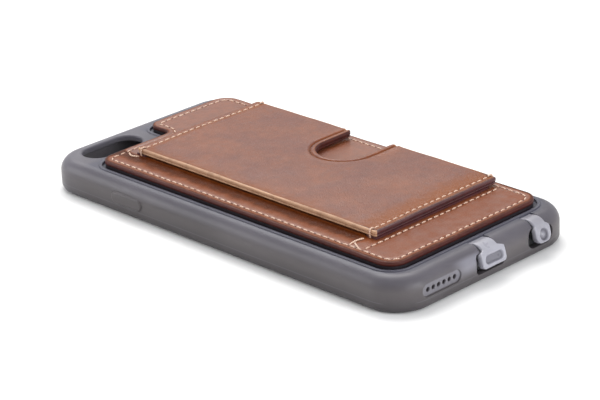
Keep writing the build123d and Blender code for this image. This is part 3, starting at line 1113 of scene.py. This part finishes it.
# ------------------------------------------------------------------ sub-assemblies
@dataclass
class LeatherBack:
    """The leather panel and the stitching on it.

    Attributes:
        finishes: the case's materials.
        corner: the radius of the panel's outer corners.
        notch_reach: how far the camera notch is cut in from the camera end.
        notch_depth: how far the notch is cut in from the near side.
        notch_corner: the radius of the corner beside the notch's end.
        notch_inner_corner: the radius in the notch.
        notch_near_corner: the radius of the corner beside the notch's near end.
        seam_inset: the distance from the edge to the stitching.
        stitch_pitch: the distance from one stitch to the next.
        seam_dip: how far the stitching is pulled into the leather.
        seam_width: the half width of that dip.
        lip: the height and the inset of the soft swelling inside the rim.
        port_strip: the x past which the strip beside the port end is burnished.
        shaded_near_strip: how far the burnished strip with painted shade reaches from the near edge.
    """

    finishes: Finishes
    corner: float = 5.5
    notch_reach: float = 10.0
    notch_depth: float = 28.4
    notch_corner: float = 3.2
    notch_inner_corner: float = 2.2
    notch_near_corner: float = 4.4
    seam_inset: float = 2.3
    stitch_pitch: float = 2.5
    seam_dip: float = 0.16
    seam_width: float = 0.42
    lip: tuple[float, float] = (0.05, 1.0)
    port_strip: float = 48.0
    shaded_near_strip: float = 9.5

    def __post_init__(self) -> None:
        """Read the panel's place from the frame."""
        self.low, self.high = box_mm("back_panel")
        seam_low, seam_high = box_mm("strip_stitching")
        self.strip_x = float(seam_low[0] + seam_high[0]) / 2
        (x1, y1, _), (x2, y2, _) = self.low, self.high
        notch_x, notch_y = x1 + self.notch_reach, y1 + self.notch_depth
        self.outline = Outline(
            [
                (x2, y1, self.corner),
                (x2, y2, self.corner),
                (x1, y2, self.corner),
                (x1, notch_y, self.notch_corner),
                (notch_x, notch_y, self.notch_inner_corner),
                (notch_x, y1, self.notch_near_corner),
            ]
        )

    def relief(self, x: np.ndarray, y: np.ndarray, inset: np.ndarray) -> np.ndarray:
        """Return the panel's height above its top: dips under the seams and slow waves."""
        seam = bell(inset - self.seam_inset, self.seam_width)
        strip = bell(x - self.strip_x, self.seam_width) * (inset > self.seam_inset)
        waves = 0.03 * np.sin(x * 0.21 + 1.0) * np.sin(y * 0.27) + 0.02 * np.sin(x * 0.53 + y * 0.41)
        lip_height, lip_inset = self.lip
        lip = lip_height * bell(inset - lip_inset, 0.5)
        return waves + lip - self.seam_dip * np.maximum(seam, strip)

    def burnish_and_shade(self, x: np.ndarray, y: np.ndarray, inset: np.ndarray) -> np.ndarray:
        """Return how burnished the panel is, with painted shade: its rim, its seams, and the strips by the
        pocket.

        The near strip darkens steadily from the seam to the pocket's edge, a painted shade of the pocket
        over a light burnish, and ends at the port strip, which is evenly burnished.
        """
        rim = bell(inset, 0.9)
        seam = 0.55 * bell(inset - self.seam_inset, 0.7)
        strip = 0.55 * bell(x - self.strip_x, 0.8)
        out = y - self.low[1]
        under_pocket = out >= self.shaded_near_strip + 0.3
        near = 0.42 / (1 + np.exp((out - self.shaded_near_strip) / 0.8))
        # painted shade: rising from 2.8 mm out towards the pocket's near edge
        near = near + 0.64 * np.clip((out - 2.8) / 4.6, 0, 1) * ~under_pocket
        near_end = 1 / (1 + np.exp((x - self.port_strip + 1.0) / 0.8))
        port = 0.5 / (1 + np.exp((self.port_strip - x) / 1.2))
        return np.clip(rim + np.maximum(np.maximum(seam, strip), near * near_end + port), 0, 1)

    def seam_height(self, x: np.ndarray, y: np.ndarray) -> np.ndarray:
        """Return the leather's height along a seam."""
        return self.high[2] + self.relief(x, y, np.full_like(x, self.seam_inset))

    def make_panel(self) -> bpy.types.Object:
        """Build the panel as one sheet of leather with a painted edge."""
        columns = self.strip_x + np.array([-1.1, -0.7, -0.4, -0.15, 0.15, 0.4, 0.7, 1.1])
        rows = np.arange(self.low[1], self.high[1], 0.7)
        plate = LeatherPlate(
            self.outline,
            self.low[2],
            self.high[2],
            rings=(0.6, 0.9, 1.3, 1.6, 1.85, 2.1, 2.3, 2.5, 2.75, 3.05),
            guides=np.stack(np.meshgrid(columns, rows), -1).reshape(-1, 2),
        )
        draft = Draft()
        plate.add_to(draft, self.relief, self.burnish_and_shade, painted_edge)
        panel = draft.build("leather_back_panel", [self.finishes.leather, self.finishes.wine_edge])
        dress(panel, CASE, Slot.LEATHER, "back_panel")
        return panel

    def make_stitching(self, random: np.random.Generator) -> bpy.types.Object:
        """Sew round the panel, leaving out the stitches that the pocket's welts cover."""
        line, _ = self.outline.walk(0.4, self.seam_inset)
        places, headings = Seam.along(line, self.stitch_pitch, True)
        covered = np.zeros(len(places), bool)
        for welt in ("pocket_welt_camera_end", "pocket_welt_port_end"):
            low, high = box_mm(welt)
            margin = self.stitch_pitch / 2
            covered |= ((places > low[:2] - margin) & (places < high[:2] + margin)).all(1)
        draft = Draft()
        seam = Seam(places[~covered], headings[~covered], self.seam_height, self.stitch_pitch)
        seam.add_to(draft, random)
        piece = draft.build("panel_edge_thread", [self.finishes.thread, self.finishes.hole])
        return dress(piece, CASE, Slot.THREAD, "panel_edge_stitching")

    def make_strip_stitching(self, random: np.random.Generator) -> bpy.types.Object:
        """Sew across the panel beside the pocket's port end."""
        reach = self.seam_inset + self.stitch_pitch * 0.4
        line = np.array([[self.strip_x, self.low[1] + reach], [self.strip_x, self.high[1] - reach]])
        places, headings = Seam.along(line, self.stitch_pitch, False)
        draft = Draft()
        Seam(places, headings, self.seam_height, self.stitch_pitch).add_to(draft, random)
        piece = draft.build("strip_thread", [self.finishes.thread, self.finishes.hole])
        return dress(piece, CASE, Slot.THREAD, "strip_stitching")


@dataclass
class CardPocket:
    """The pocket's cover and lining, its end seams and the thread over its open edges.

    Attributes:
        finishes: the case's materials.
        corner: the radius of the pocket's corners.
        notch_width: the thumb notch's width.
        notch_depth: how far the notch is cut in from the far side.
        mouth_corner: the radius of the corners at the notch's mouth.
        crease_inset: the distance from the notch's rim to its pressed crease.
        crease_dip: the crease's depth.
        crown: how far the middle of the cover stands above its edges.
        seam_inset: the distance from the cover's ends to their stitching.
        stitch_pitch: the distance from one stitch to the next.
        seam_dip: how far the stitching is pulled into the leather.
        seam_width: the half width of that dip.
        lining_back: how far the lining's edge stands back from the cover's.
        thread_radius: half the thickness of the thread over the edges.
    """

    finishes: Finishes
    corner: float = 1.0
    notch_width: float = 16.2
    notch_depth: float = 20.0
    mouth_corner: float = 1.2
    crease_inset: float = 1.9
    crease_dip: float = 0.42
    crown: float = 0.32
    seam_inset: float = 2.3
    stitch_pitch: float = 2.5
    seam_dip: float = 0.2
    seam_width: float = 0.45
    lining_back: float = 0.1
    thread_radius: float = 0.24

    def __post_init__(self) -> None:
        """Read the pocket's place from the frame."""
        self.low, self.high = box_mm("pocket_cover")
        self.middle = (self.low + self.high) / 2
        self.notch_radius = self.notch_width / 2
        self.arc_y = self.high[1] - self.notch_depth + self.notch_radius

    def outline(self, back: float) -> Outline:
        """Return the cut, moved inwards by back."""
        x1, y1 = self.low[:2] + back
        x2, y2 = self.high[:2] - back
        reach = self.notch_radius + back
        left, right = self.middle[0] - reach, self.middle[0] + reach
        bottom, bend = self.high[1] - self.notch_depth - back, self.notch_radius + back - 0.02
        return Outline(
            [
                (x2, y1, self.corner),
                (x2, y2, self.corner),
                (right, y2, self.mouth_corner),
                (right, bottom, bend),
                (left, bottom, bend),
                (left, y2, self.mouth_corner),
                (x1, y2, self.corner),
                (x1, y1, self.corner),
            ]
        )

    def from_notch(self, x: np.ndarray, y: np.ndarray) -> np.ndarray:
        """Return the distance outwards from the thumb notch's rim."""
        off = np.abs(x - self.middle[0])
        below = np.hypot(off, np.minimum(y - self.arc_y, 0))
        return np.where(y > self.arc_y, off, below) - self.notch_radius

    def relief(self, x: np.ndarray, y: np.ndarray, inset: np.ndarray) -> np.ndarray:
        """Return the cover's height above its top: crown, pressed seams, crease and waves."""
        across = np.clip((y - self.low[1]) / (self.high[1] - self.low[1]), 0, 1)
        length = np.clip((x - self.low[0]) / (self.high[0] - self.low[0]), 0, 1)
        pillow = (4 * across * (1 - across)) * (1 - (2 * length - 1) ** 6)
        notch = self.from_notch(x, y)
        fade = 1 - bell(np.clip(notch, 0, None), 6.0)
        ends = np.minimum(x - self.low[0], self.high[0] - x)
        seam = bell(ends - self.seam_inset, self.seam_width)
        crease = bell(notch - self.crease_inset, 0.32)
        rim = 0.16 * bell(notch - 0.9, 0.6) + 0.14 * bell(notch - 2.9, 0.6)
        waves = 0.1 * np.sin(x * 0.13 + 0.6) * np.sin(y * 0.16 + 1.1) + 0.03 * np.sin(x * 0.41 - y * 0.33)
        return self.crown * pillow * fade + rim + waves - self.seam_dip * seam - self.crease_dip * crease

    def burnish_and_shade(self, x: np.ndarray, y: np.ndarray, inset: np.ndarray) -> np.ndarray:
        """Return how burnished the cover is: at its ends, in its seams and at the notch."""
        ends = np.minimum(x - self.low[0], self.high[0] - x)
        rim = 0.8 * bell(inset, 0.7)
        seam = 0.6 * bell(ends - self.seam_inset - 0.4, 1.4)
        port = 0.62 * bell(np.clip(self.high[0] - self.seam_inset - x, 0, None), 7.0)
        near = 0.36 * bell(y - self.low[1], 4.5)
        seam = np.maximum(seam, np.maximum(port, near))
        crease = bell(self.from_notch(x, y) - self.crease_inset, 0.3)
        return np.clip(rim + np.maximum(seam, crease), 0, 1)

    def guides(self) -> np.ndarray:
        """Return close points beside the end seams and round the notch's crease."""
        near = np.array([-1.1, -0.75, -0.45, -0.15, 0.15, 0.45, 0.75, 1.1])
        ends = (self.low[0] + self.seam_inset, self.high[0] - self.seam_inset)
        columns = np.concatenate([near + end for end in ends])
        rows = np.arange(self.low[1], self.high[1], 0.7)
        seams = np.stack(np.meshgrid(columns, rows), -1).reshape(-1, 2)
        turn = np.linspace(math.pi, 2 * math.pi, 60)
        arc = np.stack([np.cos(turn), np.sin(turn)], 1)
        rise = np.arange(0, self.high[1] - self.arc_y, 0.5)
        centre = np.array([self.middle[0], self.arc_y])
        rings = []
        for out in (1.0, 1.2, 1.4, 1.6, 1.75, 1.9, 2.05, 2.2, 2.4, 2.65, 2.95, 3.3):
            reach = self.notch_radius + out
            rings.append(centre + arc * reach)
            for side in (-1, 1):
                upright = np.full_like(rise, centre[0] + side * reach)
                rings.append(np.stack([upright, centre[1] + rise], 1))
        return np.concatenate([seams, *rings])

    def edge_slots(self, line: np.ndarray, outward: np.ndarray) -> np.ndarray:
        """Return slot 1, pale, on the open sides, slot 3, wine, in the notch, slot 2, dark, at the ends."""
        open_side = np.minimum(line[:, 1] - self.low[1], self.high[1] - line[:, 1]) < 0.6
        notch = np.abs(line[:, 0] - self.middle[0]) < self.notch_width
        ends = np.where(notch, 3, 2)
        return np.where(open_side & (np.abs(outward[:, 0]) < 0.8), 1, ends)

    def materials(self) -> list[bpy.types.Material]:
        """Return the materials of the pocket's layers, in slot order."""
        edges = (self.finishes.pale_edge, self.finishes.dark_edge, self.finishes.wine_edge)
        return [self.finishes.pocket_leather, *edges]

    def make_cover(self) -> bpy.types.Object:
        """Build the cover, with pale raw edges at its open sides and painted ends."""
        plate = LeatherPlate(
            self.outline(0.0), self.low[2], self.high[2], rings=(0.5, 0.7), pitch=1.2, guides=self.guides()
        )
        draft = Draft()
        plate.add_to(draft, self.relief, self.burnish_and_shade, self.edge_slots)
        cover = draft.build("pocket_cover_leather", self.materials())
        dress(cover, CASE, Slot.LEATHER, "pocket_cover")
        self.declare()
        return cover

    def make_lining(self) -> bpy.types.Object:
        """Build the lining, which shows as the second line of the pocket's edge."""
        low, high = box_mm("pocket_lining")
        plate = LeatherPlate(
            self.outline(self.lining_back), low[2], high[2], rings=(0.4, 0.6), pitch=4.0, dome=0.25
        )
        draft = Draft()
        plate.add_to(draft, level, level, self.edge_slots)
        lining = draft.build("pocket_lining_leather", self.materials())
        dress(lining, CASE, Slot.PALE_EDGE, "pocket_lining")
        self.declare()
        return lining

    def declare(self) -> None:
        """Work out the area of leather that a layer of the pocket is cut from."""
        size = (self.high - self.low) * MM
        straight = self.notch_depth - self.notch_radius
        notch = self.notch_width * straight + math.pi * self.notch_radius**2 / 2
        area = float(size[0] * size[1]) - notch * MM * MM

    def seam_height(self, x: np.ndarray, y: np.ndarray) -> np.ndarray:
        """Return the cover's height at a place."""
        return self.high[2] + self.relief(x, y, np.full_like(x, self.seam_inset))

    def make_stitching(self, random: np.random.Generator) -> list[bpy.types.Object]:
        """Sew both short ends of the cover."""
        made = []
        ends = {"camera_end": self.low[0] + self.seam_inset, "port_end": self.high[0] - self.seam_inset}
        for name, x in ends.items():
            line = np.array([[x, self.low[1] + 1.4], [x, self.high[1] - 1.4]])
            places, headings = Seam.along(line, self.stitch_pitch, False)
            draft = Draft()
            Seam(places, headings, self.seam_height, self.stitch_pitch).add_to(draft, random)
            piece = draft.build(f"cover_thread_{name}", [self.finishes.thread, self.finishes.hole])
            made.append(dress(piece, CASE, Slot.THREAD, f"cover_stitching_{name}"))
        return made

    def make_tacks(self) -> bpy.types.Object:
        """Wrap thread over the pocket's open edges where each end seam meets them."""
        draft = Draft()
        panel_top = float(box_mm("back_panel")[1][2])
        top = self.high[2]
        for x, lean in ((self.low[0] + self.seam_inset, -1), (self.high[0] - self.seam_inset, 1)):
            for edge, out in ((self.low[1], -1), (self.high[1], 1)):
                knots = [
                    (x, edge - out * 1.5, top - 0.1),
                    (x, edge - out * 0.9, top + 0.16),
                    (x + 0.1 * lean, edge, top + 0.05),
                    (x + 0.15 * lean, edge + out * 0.3, top - 0.9),
                    (x + 0.2 * lean, edge + out * 0.2, panel_top + 0.35),
                    (x + 0.2 * lean, edge - out * 0.3, panel_top),
                ]
                thread_tube(draft, knots, self.thread_radius)
        self._add_foot_threads(draft, panel_top)
        piece = draft.build("corner_thread", [self.finishes.thread])
        return dress(piece, CASE, Slot.THREAD, "corner_tacks")

    def _add_foot_threads(self, draft: Draft, panel_top: float) -> None:
        """Add the longer stitches on the panel in front of the pocket's near corners."""
        seam_y = float(box_mm("back_panel")[0][1]) + self.seam_inset
        near, port, camera = self.low[1], self.high[0], self.low[0]
        lifted = panel_top + 0.12
        port_knots = [
            (port - 3.2, near - 1.4, panel_top - 0.1),
            (port - 3.3, near - 2.2, lifted),
            (port - 3.5, near - 4.2, lifted + 0.1),
            (port - 3.4, seam_y + 1.2, lifted),
            (port - 3.2, seam_y + 0.2, panel_top - 0.1),
        ]
        camera_knots = [
            (camera + 1.6, near - 0.4, panel_top - 0.1),
            (camera + 1.0, near - 1.5, lifted),
            (camera - 0.4, near - 2.0, lifted + 0.1),
            (camera - 2.0, near - 1.2, lifted),
            (camera - 2.8, near - 0.6, panel_top - 0.1),
        ]
        link_knots = [
            (port - 3.1, near - 5.0, panel_top - 0.1),
            (port - 2.6, near - 5.5, lifted),
            (port - 1.1, near - 6.5, lifted + 0.1),
            (port + 0.4, near - 7.3, lifted),
            (port + 0.9, near - 7.6, panel_top - 0.1),
        ]
        for knots in (port_knots, link_knots, camera_knots):
            thread_tube(draft, knots, self.thread_radius)


def capsule(length: float, height: float, count: int) -> tuple[np.ndarray, np.ndarray]:
    """Go round a capsule: a straight spine with half a circle at each end.

    A point of the rim is its spine point plus its ray times half the height.

    Args:
        length: the capsule's whole length.
        height: its height.
        count: the number of points.

    Returns:
        The spine points and the unit rays, each count by 2.
    """
    turn = rim_turns(count) + 1e-4
    ray = np.stack([np.cos(turn), np.sin(turn)], 1)
    spine = np.stack([np.sign(ray[:, 0]) * max(length - height, 0.0) / 2, np.zeros(count)], 1)
    return spine, ray


def rounded_section(across: int, corner: int) -> tuple[np.ndarray, ...]:
    """Go round a rectangle with round corners, starting along its outer face.

    A point is share x (half size - radius) + arc x radius in each direction.

    Args:
        across: the number of points along each long face.
        corner: the number of points round each corner.

    Returns:
        The share and the arc across, and the share and the arc outwards.
    """
    face, quarter = np.linspace(1, -1, across), np.linspace(0, math.pi / 2, corner)
    corners = (
        (-1.0, 1.0, quarter[1:]),
        (-1.0, -1.0, quarter[:-1]),
        (1.0, -1.0, quarter[1:]),
        (1.0, 1.0, quarter[:-1]),
    )
    parts = []
    for index, (side, out, turn) in enumerate(corners):
        if index % 2 == 0:
            parts.append((face * out, np.zeros(across), np.full(across, out), np.full(across, out)))
        angle = math.pi / 2 * (1 + index) + turn
        parts.append((np.full(len(turn), side), np.cos(angle), np.full(len(turn), out), np.sin(angle)))
    return tuple(np.concatenate(part) for part in zip(*parts))


@dataclass
class PortFlap:
    """A soft flap: a strap that leaves the bumper's back, bends over the end and widens into a head.

    A cross-section with round corners is carried along a path in the flap's middle plane.
    The path's heading starts level, lifts to the angle that the flap stands ajar, and then
    turns down through a right angle. The width and thickness change along the path, and
    the dimple is pressed into the outer face. A plug stands on the head's inner face.

    Attributes:
        finishes: the case's materials.
        node: the CAD node that it stands for.
        body: the CAD body of the flap; not used.
        joint: the joint whose place is its hinge.
        strap_width: the strap's width.
        head_width: the head's width.
        head_round: the head's corner radius.
        dimple: the dimple's length and height.
        plug: the plug's length and height.
        boss: the radius of the raised middle of the dimple.
        dimple_depth: how deep the dimple is.
        head_height: the head's height.
        strap_thickness: the strap's thickness.
        head_thickness: the head's thickness.
        ajar: the angle that the flap stands open at rest, in radians.
        root_reach: how far the strap's root runs back from the hinge.
        strap_reach: how far the strap's middle plane reaches past the hinge.
        bend_radius: the radius of the strap's bend.
        head_top: how far the head's top is below the strap.
        edge_round: the radius of the cross-section's corners.
        plug_reach: how far the plug stands out of the head.
        plug_lower: how far the plug's middle is below the head's.
        blend_reach: how far the strap bends before and after the hinge; not used.
    """

    finishes: Finishes
    node: str
    body: str
    joint: str
    strap_width: float
    head_width: float
    head_round: float
    dimple: tuple[float, float]
    plug: tuple[float, float]
    boss: float = 0.0
    dimple_depth: float = 0.62
    head_height: float = 4.5
    strap_thickness: float = 1.15
    head_thickness: float = 1.8
    ajar: float = math.radians(14.0)
    root_reach: float = 1.6
    strap_reach: float = 4.3
    bend_radius: float = 3.5
    head_top: float = 1.85
    edge_round: float = 0.4
    plug_reach: float = 1.5
    plug_lower: float = 0.6
    blend_reach: float = 0.9

    def __post_init__(self) -> None:
        """Read the hinge's place from the frame."""
        joint = next(j for j in frame["joints"] if j["name"] == self.joint)
        self.hinge = np.array(joint["pos_m"]) / MM

    def path(self) -> tuple[np.ndarray, np.ndarray, np.ndarray]:
        """Return the path's points, n by 2 from the hinge, its headings, and the distance walked."""
        step = 0.11
        straight = self.strap_reach - self.bend_radius
        rise = self.root_reach
        drop = self.head_top + self.head_height - self.bend_radius
        turn = self.bend_radius * math.pi / 2
        total = rise + straight + turn + drop
        walked = np.linspace(0, total, round(total / step) + 1)
        lift = np.clip(walked / rise, 0, 1)
        bend = np.clip((walked - rise - straight) / turn, 0, 1)
        heading = self.ajar * ease(lift) - bend * math.pi / 2
        moves = np.stack([np.cos(heading), np.sin(heading)], 1) * (walked[1] - walked[0])
        trail = np.concatenate([[[0.0, 0.0]], np.cumsum((moves[1:] + moves[:-1]) / 2, 0)])
        return trail - at_marks(rise, walked, trail), heading, walked

    def pressed(self, y: np.ndarray, along: np.ndarray) -> np.ndarray:
        """Return how far the outer face is pressed in, from its place across and along the head."""
        long, high = self.dimple[0] / 2, self.dimple[1] / 2
        reach = np.hypot(np.clip(np.abs(y) - (long - high), 0, None), along) - high
        share = np.clip(0.5 - reach / 0.4, 0, 1)
        depth = self.dimple_depth * ease(share)
        ridge = 0.1 * bell(reach - 0.35, 0.3)
        middle = np.clip(1.3 - np.hypot(y, along) / max(self.boss, 0.01), 0, 1) if self.boss else 0.0
        return depth * (1 - 0.8 * middle) - ridge

    def make(self) -> bpy.types.Object:
        """Build the flap."""
        trail, heading, walked = self.path()
        total = walked[-1]
        from_tip = total - walked
        into_head = ease(np.clip((self.head_height + 0.6 - from_tip) / 1.1, 0, 1))
        width = self.strap_width + (self.head_width - self.strap_width) * into_head
        tip = np.clip(from_tip / self.head_round, 0, 1)
        width = width - 2 * self.head_round * (1 - np.sqrt(1 - (1 - tip) ** 2))
        thickness = self.strap_thickness + (self.head_thickness - self.strap_thickness) * into_head
        thin = np.clip(from_tip / self.edge_round, 0, 1)
        thickness = thickness * (0.4 + 0.6 * np.sqrt(1 - (1 - thin) ** 2))
        radius = np.minimum(self.edge_round, np.minimum(thickness, width) / 2 * 0.98)[:, None]

        share, arc, outer, outer_arc = rounded_section(45, 6)
        columns = len(share)
        y = share * (width[:, None] / 2 - radius) + arc * radius
        off = outer * (thickness[:, None] / 2 - radius) + outer_arc * radius
        along = np.broadcast_to((walked - total + self.head_height / 2)[:, None], y.shape)
        outer_face = outer_arc > 0.99
        pressed = self.pressed(y, along)
        off = off - outer_face * pressed
        normal = np.stack([-np.sin(heading), np.cos(heading)], 1)
        x = self.hinge[0] + trail[:, :1] + normal[:, :1] * off
        z = self.hinge[2] + trail[:, 1:] + normal[:, 1:] * off
        points = np.stack([x, self.hinge[1] + y, z], -1).reshape(-1, 3)
        rows = len(walked)
        # painted shade: the dimple's pressed share, stored as the attribute that darkens it
        dimple_shade = outer_face * np.clip(pressed / self.dimple_depth, 0, 1)
        draft = Draft()
        draft.add(points, [(grid_faces(rows, columns), 0), (grid_caps(rows, columns), 0)], dimple_shade.ravel())
        self.add_plug(draft, trail, heading, walked)
        piece = draft.build(self.node.replace("port_flap", "flap_skin"), [self.finishes.flap])
        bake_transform(piece)
        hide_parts(self.node)
        return piece

    def add_plug(self, draft: Draft, trail: np.ndarray, heading: np.ndarray, walked: np.ndarray) -> None:
        """Add the plug: capsule rings that step inwards and draw in at the end.

        Args:
            draft: where it goes.
            trail: the path's points.
            heading: its headings.
            walked: the distances along it.
        """
        at = walked[-1] - self.head_height / 2 + self.plug_lower
        place = at_marks(at, walked, trail)
        turn = float(np.interp(at, walked, heading))
        onward = np.array([math.cos(turn), math.sin(turn)])
        inward = np.array([math.sin(turn), -math.cos(turn)])
        spine, ray = capsule(*self.plug, 40)
        depths = np.array([0.2, 1.0, 1.15, 1.25, 1.3]) - 0.2 + self.head_thickness / 2 - 0.3
        depths[1:] += self.plug_reach - 0.8
        draws = np.array([0, 0.0, 0.06, 0.16, 0.34])
        local = spine[None] + ray[None] * (self.plug[1] / 2 - draws[:, None, None])
        step = depths[:, None, None] * inward
        across = self.hinge[1] + local[..., 0]
        plan = place + local[..., 1:] * onward + step
        points = np.stack([self.hinge[0] + plan[..., 0], across, self.hinge[2] + plan[..., 1]], -1)
        size = (len(depths), len(spine))
        draft.add(points.reshape(-1, 3), [(grid_faces(*size), 0), (grid_caps(*size), 0)])


@dataclass
class SideButton:
    """A soft bump moulded over a side key.

    Rings run from the flat top of a capsule down a smooth shoulder to a rim just under
    the bumper's skin, and on to a flat back. Each ring follows the bumper's rounded side:
    above the round's start the skin stands back by radius - sqrt(radius^2 - rise^2).

    Attributes:
        finishes: the case's materials.
        node: the CAD key that it stands for.
        body: the key's body; not used.
        margin: how far the bump reaches past the key.
        proud: how far its top stands out.
        top_round: the radius of the bumper's rounded side.
        sunk: how far the bump's rim lies under the bumper's skin.
        back: how far its flat back lies under the skin.
    """

    finishes: Finishes
    node: str
    body: str
    margin: float = 0.5
    proud: float = 0.5
    top_round: float = 4.2
    sunk: float = 0.04
    back: float = 0.4

    def make(self) -> bpy.types.Object:
        """Build the bump."""
        low, high = box_mm(self.node)
        side = 1.0 if low[1] > 0 else -1.0
        wall = box_mm("bumper_shell")[1][1]
        length, height = high[0] - low[0] + 2 * self.margin, high[2] - low[2] + 2 * self.margin
        middle = (low + high) / 2
        spine, ray = capsule(length, height, 72)
        shares = np.array([0.3, 0.55, 0.66, 0.72, 0.78, 0.84, 0.9, 0.96, 1.0, 1.0, 0.5])
        fall = np.clip((shares - 0.7) / 0.26, 0, 1)
        out = self.proud * (1 - ease(fall)) - self.sunk
        out[-2:] = -self.back
        local = spine[None] + ray[None] * (height / 2 * shares[:, None, None])
        x, z = middle[0] + local[..., 0], middle[2] + local[..., 1]
        shell_top = float(box_mm("adhesive_sheet")[0][2]) + 0.5
        rise = np.clip(z - (shell_top - self.top_round), 0, None)
        skin = self.top_round - np.sqrt(self.top_round**2 - rise**2)
        y = side * (wall - skin + out[:, None])
        points = np.stack([x, y, z], -1).reshape(-1, 3)
        size = (len(shares), len(spine))
        draft = Draft()
        draft.add(points, [(grid_faces(*size), 0), (grid_caps(*size), 0)])
        piece = draft.build(self.node.replace("button", "button_skin"), [self.finishes.bumper])
        rim, crest = side * (wall - 0.05), side * (wall + self.proud * 0.6)
        start = (middle[0] * MM, rim * MM, middle[2] * MM)
        end = (middle[0] * MM, crest * MM, middle[2] * MM)
        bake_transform(piece)
        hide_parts(self.node)
        return piece


@dataclass
class Bumper:
    """The CAD nodes that show as they are: the shell, the board, its adhesive and the welts.

    Attributes:
        finishes: the case's materials.
    """

    finishes: Finishes

    def dress_nodes(self) -> None:
        """Give those nodes their materials."""
        looks = {
            "bumper_shell": self.finishes.bumper,
            "backing_board": self.finishes.board,
            "adhesive_sheet": self.finishes.board,
            "pocket_welt_camera_end": self.finishes.dark_edge,
            "pocket_welt_port_end": self.finishes.dark_edge,
        }
        for node, material in looks.items():
            mesh = frame["nodes"][node].data
            mesh.materials.clear()
            mesh.materials.append(material)
            LOG.info("%s: dressed with %s", node, material.name)


@dataclass
class Studio:
    """A pale floor, soft lights and the camera.

    Attributes:
        lens: the camera's focal length, in millimetres on a 36 mm sensor.
        azimuth: the camera's angle round the case, in degrees.
        elevation: its angle above the floor, in degrees.
        roll: its turn about its own line of sight, in degrees.
        distance: its distance from its target, in metres.
        target: the point that it looks at, in metres.
        floor_size: the length of the floor's side, in metres.
        floor_gap: how far the floor lies under the case, in metres.
        surround: the strength of the pale surround.
    """

    lens: float = 140.93
    azimuth: float = 45.79
    elevation: float = 22.88
    roll: float = -2.37
    distance: float = 0.6698
    target: tuple[float, float, float] = (0.00408, -0.00472, 0.006)
    floor_size: float = 6.0
    floor_gap: float = 0.00005
    surround: float = 0.72

    def make_camera(self) -> None:
        """Place the camera on its line of sight, then roll it."""
        a, e, r = (math.radians(x) for x in (self.azimuth, self.elevation, self.roll))
        back = np.array([math.sin(a) * math.cos(e), -math.cos(a) * math.cos(e), math.sin(e)])
        level = np.array([math.cos(a), math.sin(a), 0.0])
        upright = np.cross(back, level)
        right = level * math.cos(r) + upright * math.sin(r)
        up = upright * math.cos(r) - level * math.sin(r)
        data = bpy.data.cameras.new("camera")
        data.lens, data.sensor_width = self.lens, 36.0
        data.clip_start, data.clip_end = 0.01, 50.0
        camera = bpy.data.objects.new("camera", data)
        matrix = Matrix.Identity(4)
        for column, axis in enumerate((right, up, back, np.array(self.target) + back * self.distance)):
            for row in range(3):
                matrix[row][column] = float(axis[row])
        camera.matrix_world = matrix
        bpy.context.scene.collection.objects.link(camera)
        bpy.context.scene.camera = camera

    def make_floor(self) -> None:
        """Lay the floor just under the case."""
        half = self.floor_size / 2
        mesh = bpy.data.meshes.new("floor")
        corners = [(-half, -half, 0), (half, -half, 0), (half, half, 0), (-half, half, 0)]
        mesh.from_pydata(corners, [], [(0, 1, 2, 3)])
        finish = PlainFinish("pale_floor", (0.9, 0.9, 0.9), (0.88, 0.88, 0.88), 0.9, 400.0)
        mesh.materials.append(finish.material())
        floor = bpy.data.objects.new("floor", mesh)
        floor.location.z = -self.floor_gap
        bpy.context.scene.collection.objects.link(floor)

    @staticmethod
    def add_light(name: str, place: Sequence[float], size: float, power: float, tint: Colour) -> None:
        """Hang a square soft light that faces the case.

        Args:
            name: its name.
            place: where it hangs, in metres.
            size: the length of its side, in metres.
            power: its power, in watts.
            tint: its colour.
        """
        data = bpy.data.lights.new(name, "AREA")
        data.shape, data.size, data.energy, data.color = "SQUARE", size, power, tint
        light = bpy.data.objects.new(name, data)
        light.location = place
        light.rotation_mode = "QUATERNION"
        light.rotation_quaternion = (-Vector(place)).to_track_quat("-Z", "Y")
        bpy.context.scene.collection.objects.link(light)

    def make_lights(self) -> None:
        """Light the case from a pale surround, a high key and a low fill at each end."""
        world = bpy.data.worlds.new("surround")
        world.use_nodes = True
        background = world.node_tree.nodes["Background"]
        background.inputs["Color"].default_value = (1.0, 1.0, 1.0, 1.0)
        background.inputs["Strength"].default_value = self.surround
        bpy.context.scene.world = world
        self.add_light("key_light", (-0.5, 0.35, 0.9), 0.7, 9.0, (1.0, 0.99, 0.97))
        self.add_light("end_light", (0.8, 0.1, 0.3), 0.5, 4.0, (0.95, 0.97, 1.0))
        self.add_light("camera_end_light", (-0.42, -0.34, 0.22), 0.25, 0.9, (0.96, 0.97, 1.0))
        bpy.context.scene.view_settings.view_transform = "Standard"

    def make(self) -> None:
        """Set up the camera, the floor and the lights."""
        self.make_camera()
        self.make_floor()
        self.make_lights()


def main() -> None:
    """Build every sub-assembly round the frame."""
    logging.basicConfig(level=logging.INFO, format="%(message)s", stream=sys.stdout)
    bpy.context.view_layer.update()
    random = np.random.default_rng(7)
    Studio().make()
    finishes = Finishes()
    Bumper(finishes).dress_nodes()
    back = LeatherBack(finishes)
    back.make_panel()
    back.make_stitching(random)
    back.make_strip_stitching(random)
    pocket = CardPocket(finishes)
    pocket.make_cover()
    pocket.make_lining()
    pocket.make_stitching(random)
    pocket.make_tacks()
    PortFlap(
        finishes,
        "charging_port_flap",
        "charging_flap",
        "charging_flap_swing",
        strap_width=6.0,
        head_width=9.6,
        head_round=1.3,
        dimple=(7.0, 2.2),
        plug=(8.0, 2.3),
    ).make()
    PortFlap(
        finishes,
        "headphone_port_flap",
        "headphone_flap",
        "headphone_flap_swing",
        strap_width=4.4,
        head_width=6.1,
        head_round=2.3,
        dimple=(3.2, 3.2),
        plug=(3.4, 3.4),
        boss=1.0,
        head_top=2.1,
        head_height=4.6,
    ).make()
    for key in ("power", "volume_up", "volume_down"):
        SideButton(finishes, f"{key}_button", f"{key}_key").make()


if __name__ == "__main__":
    main()
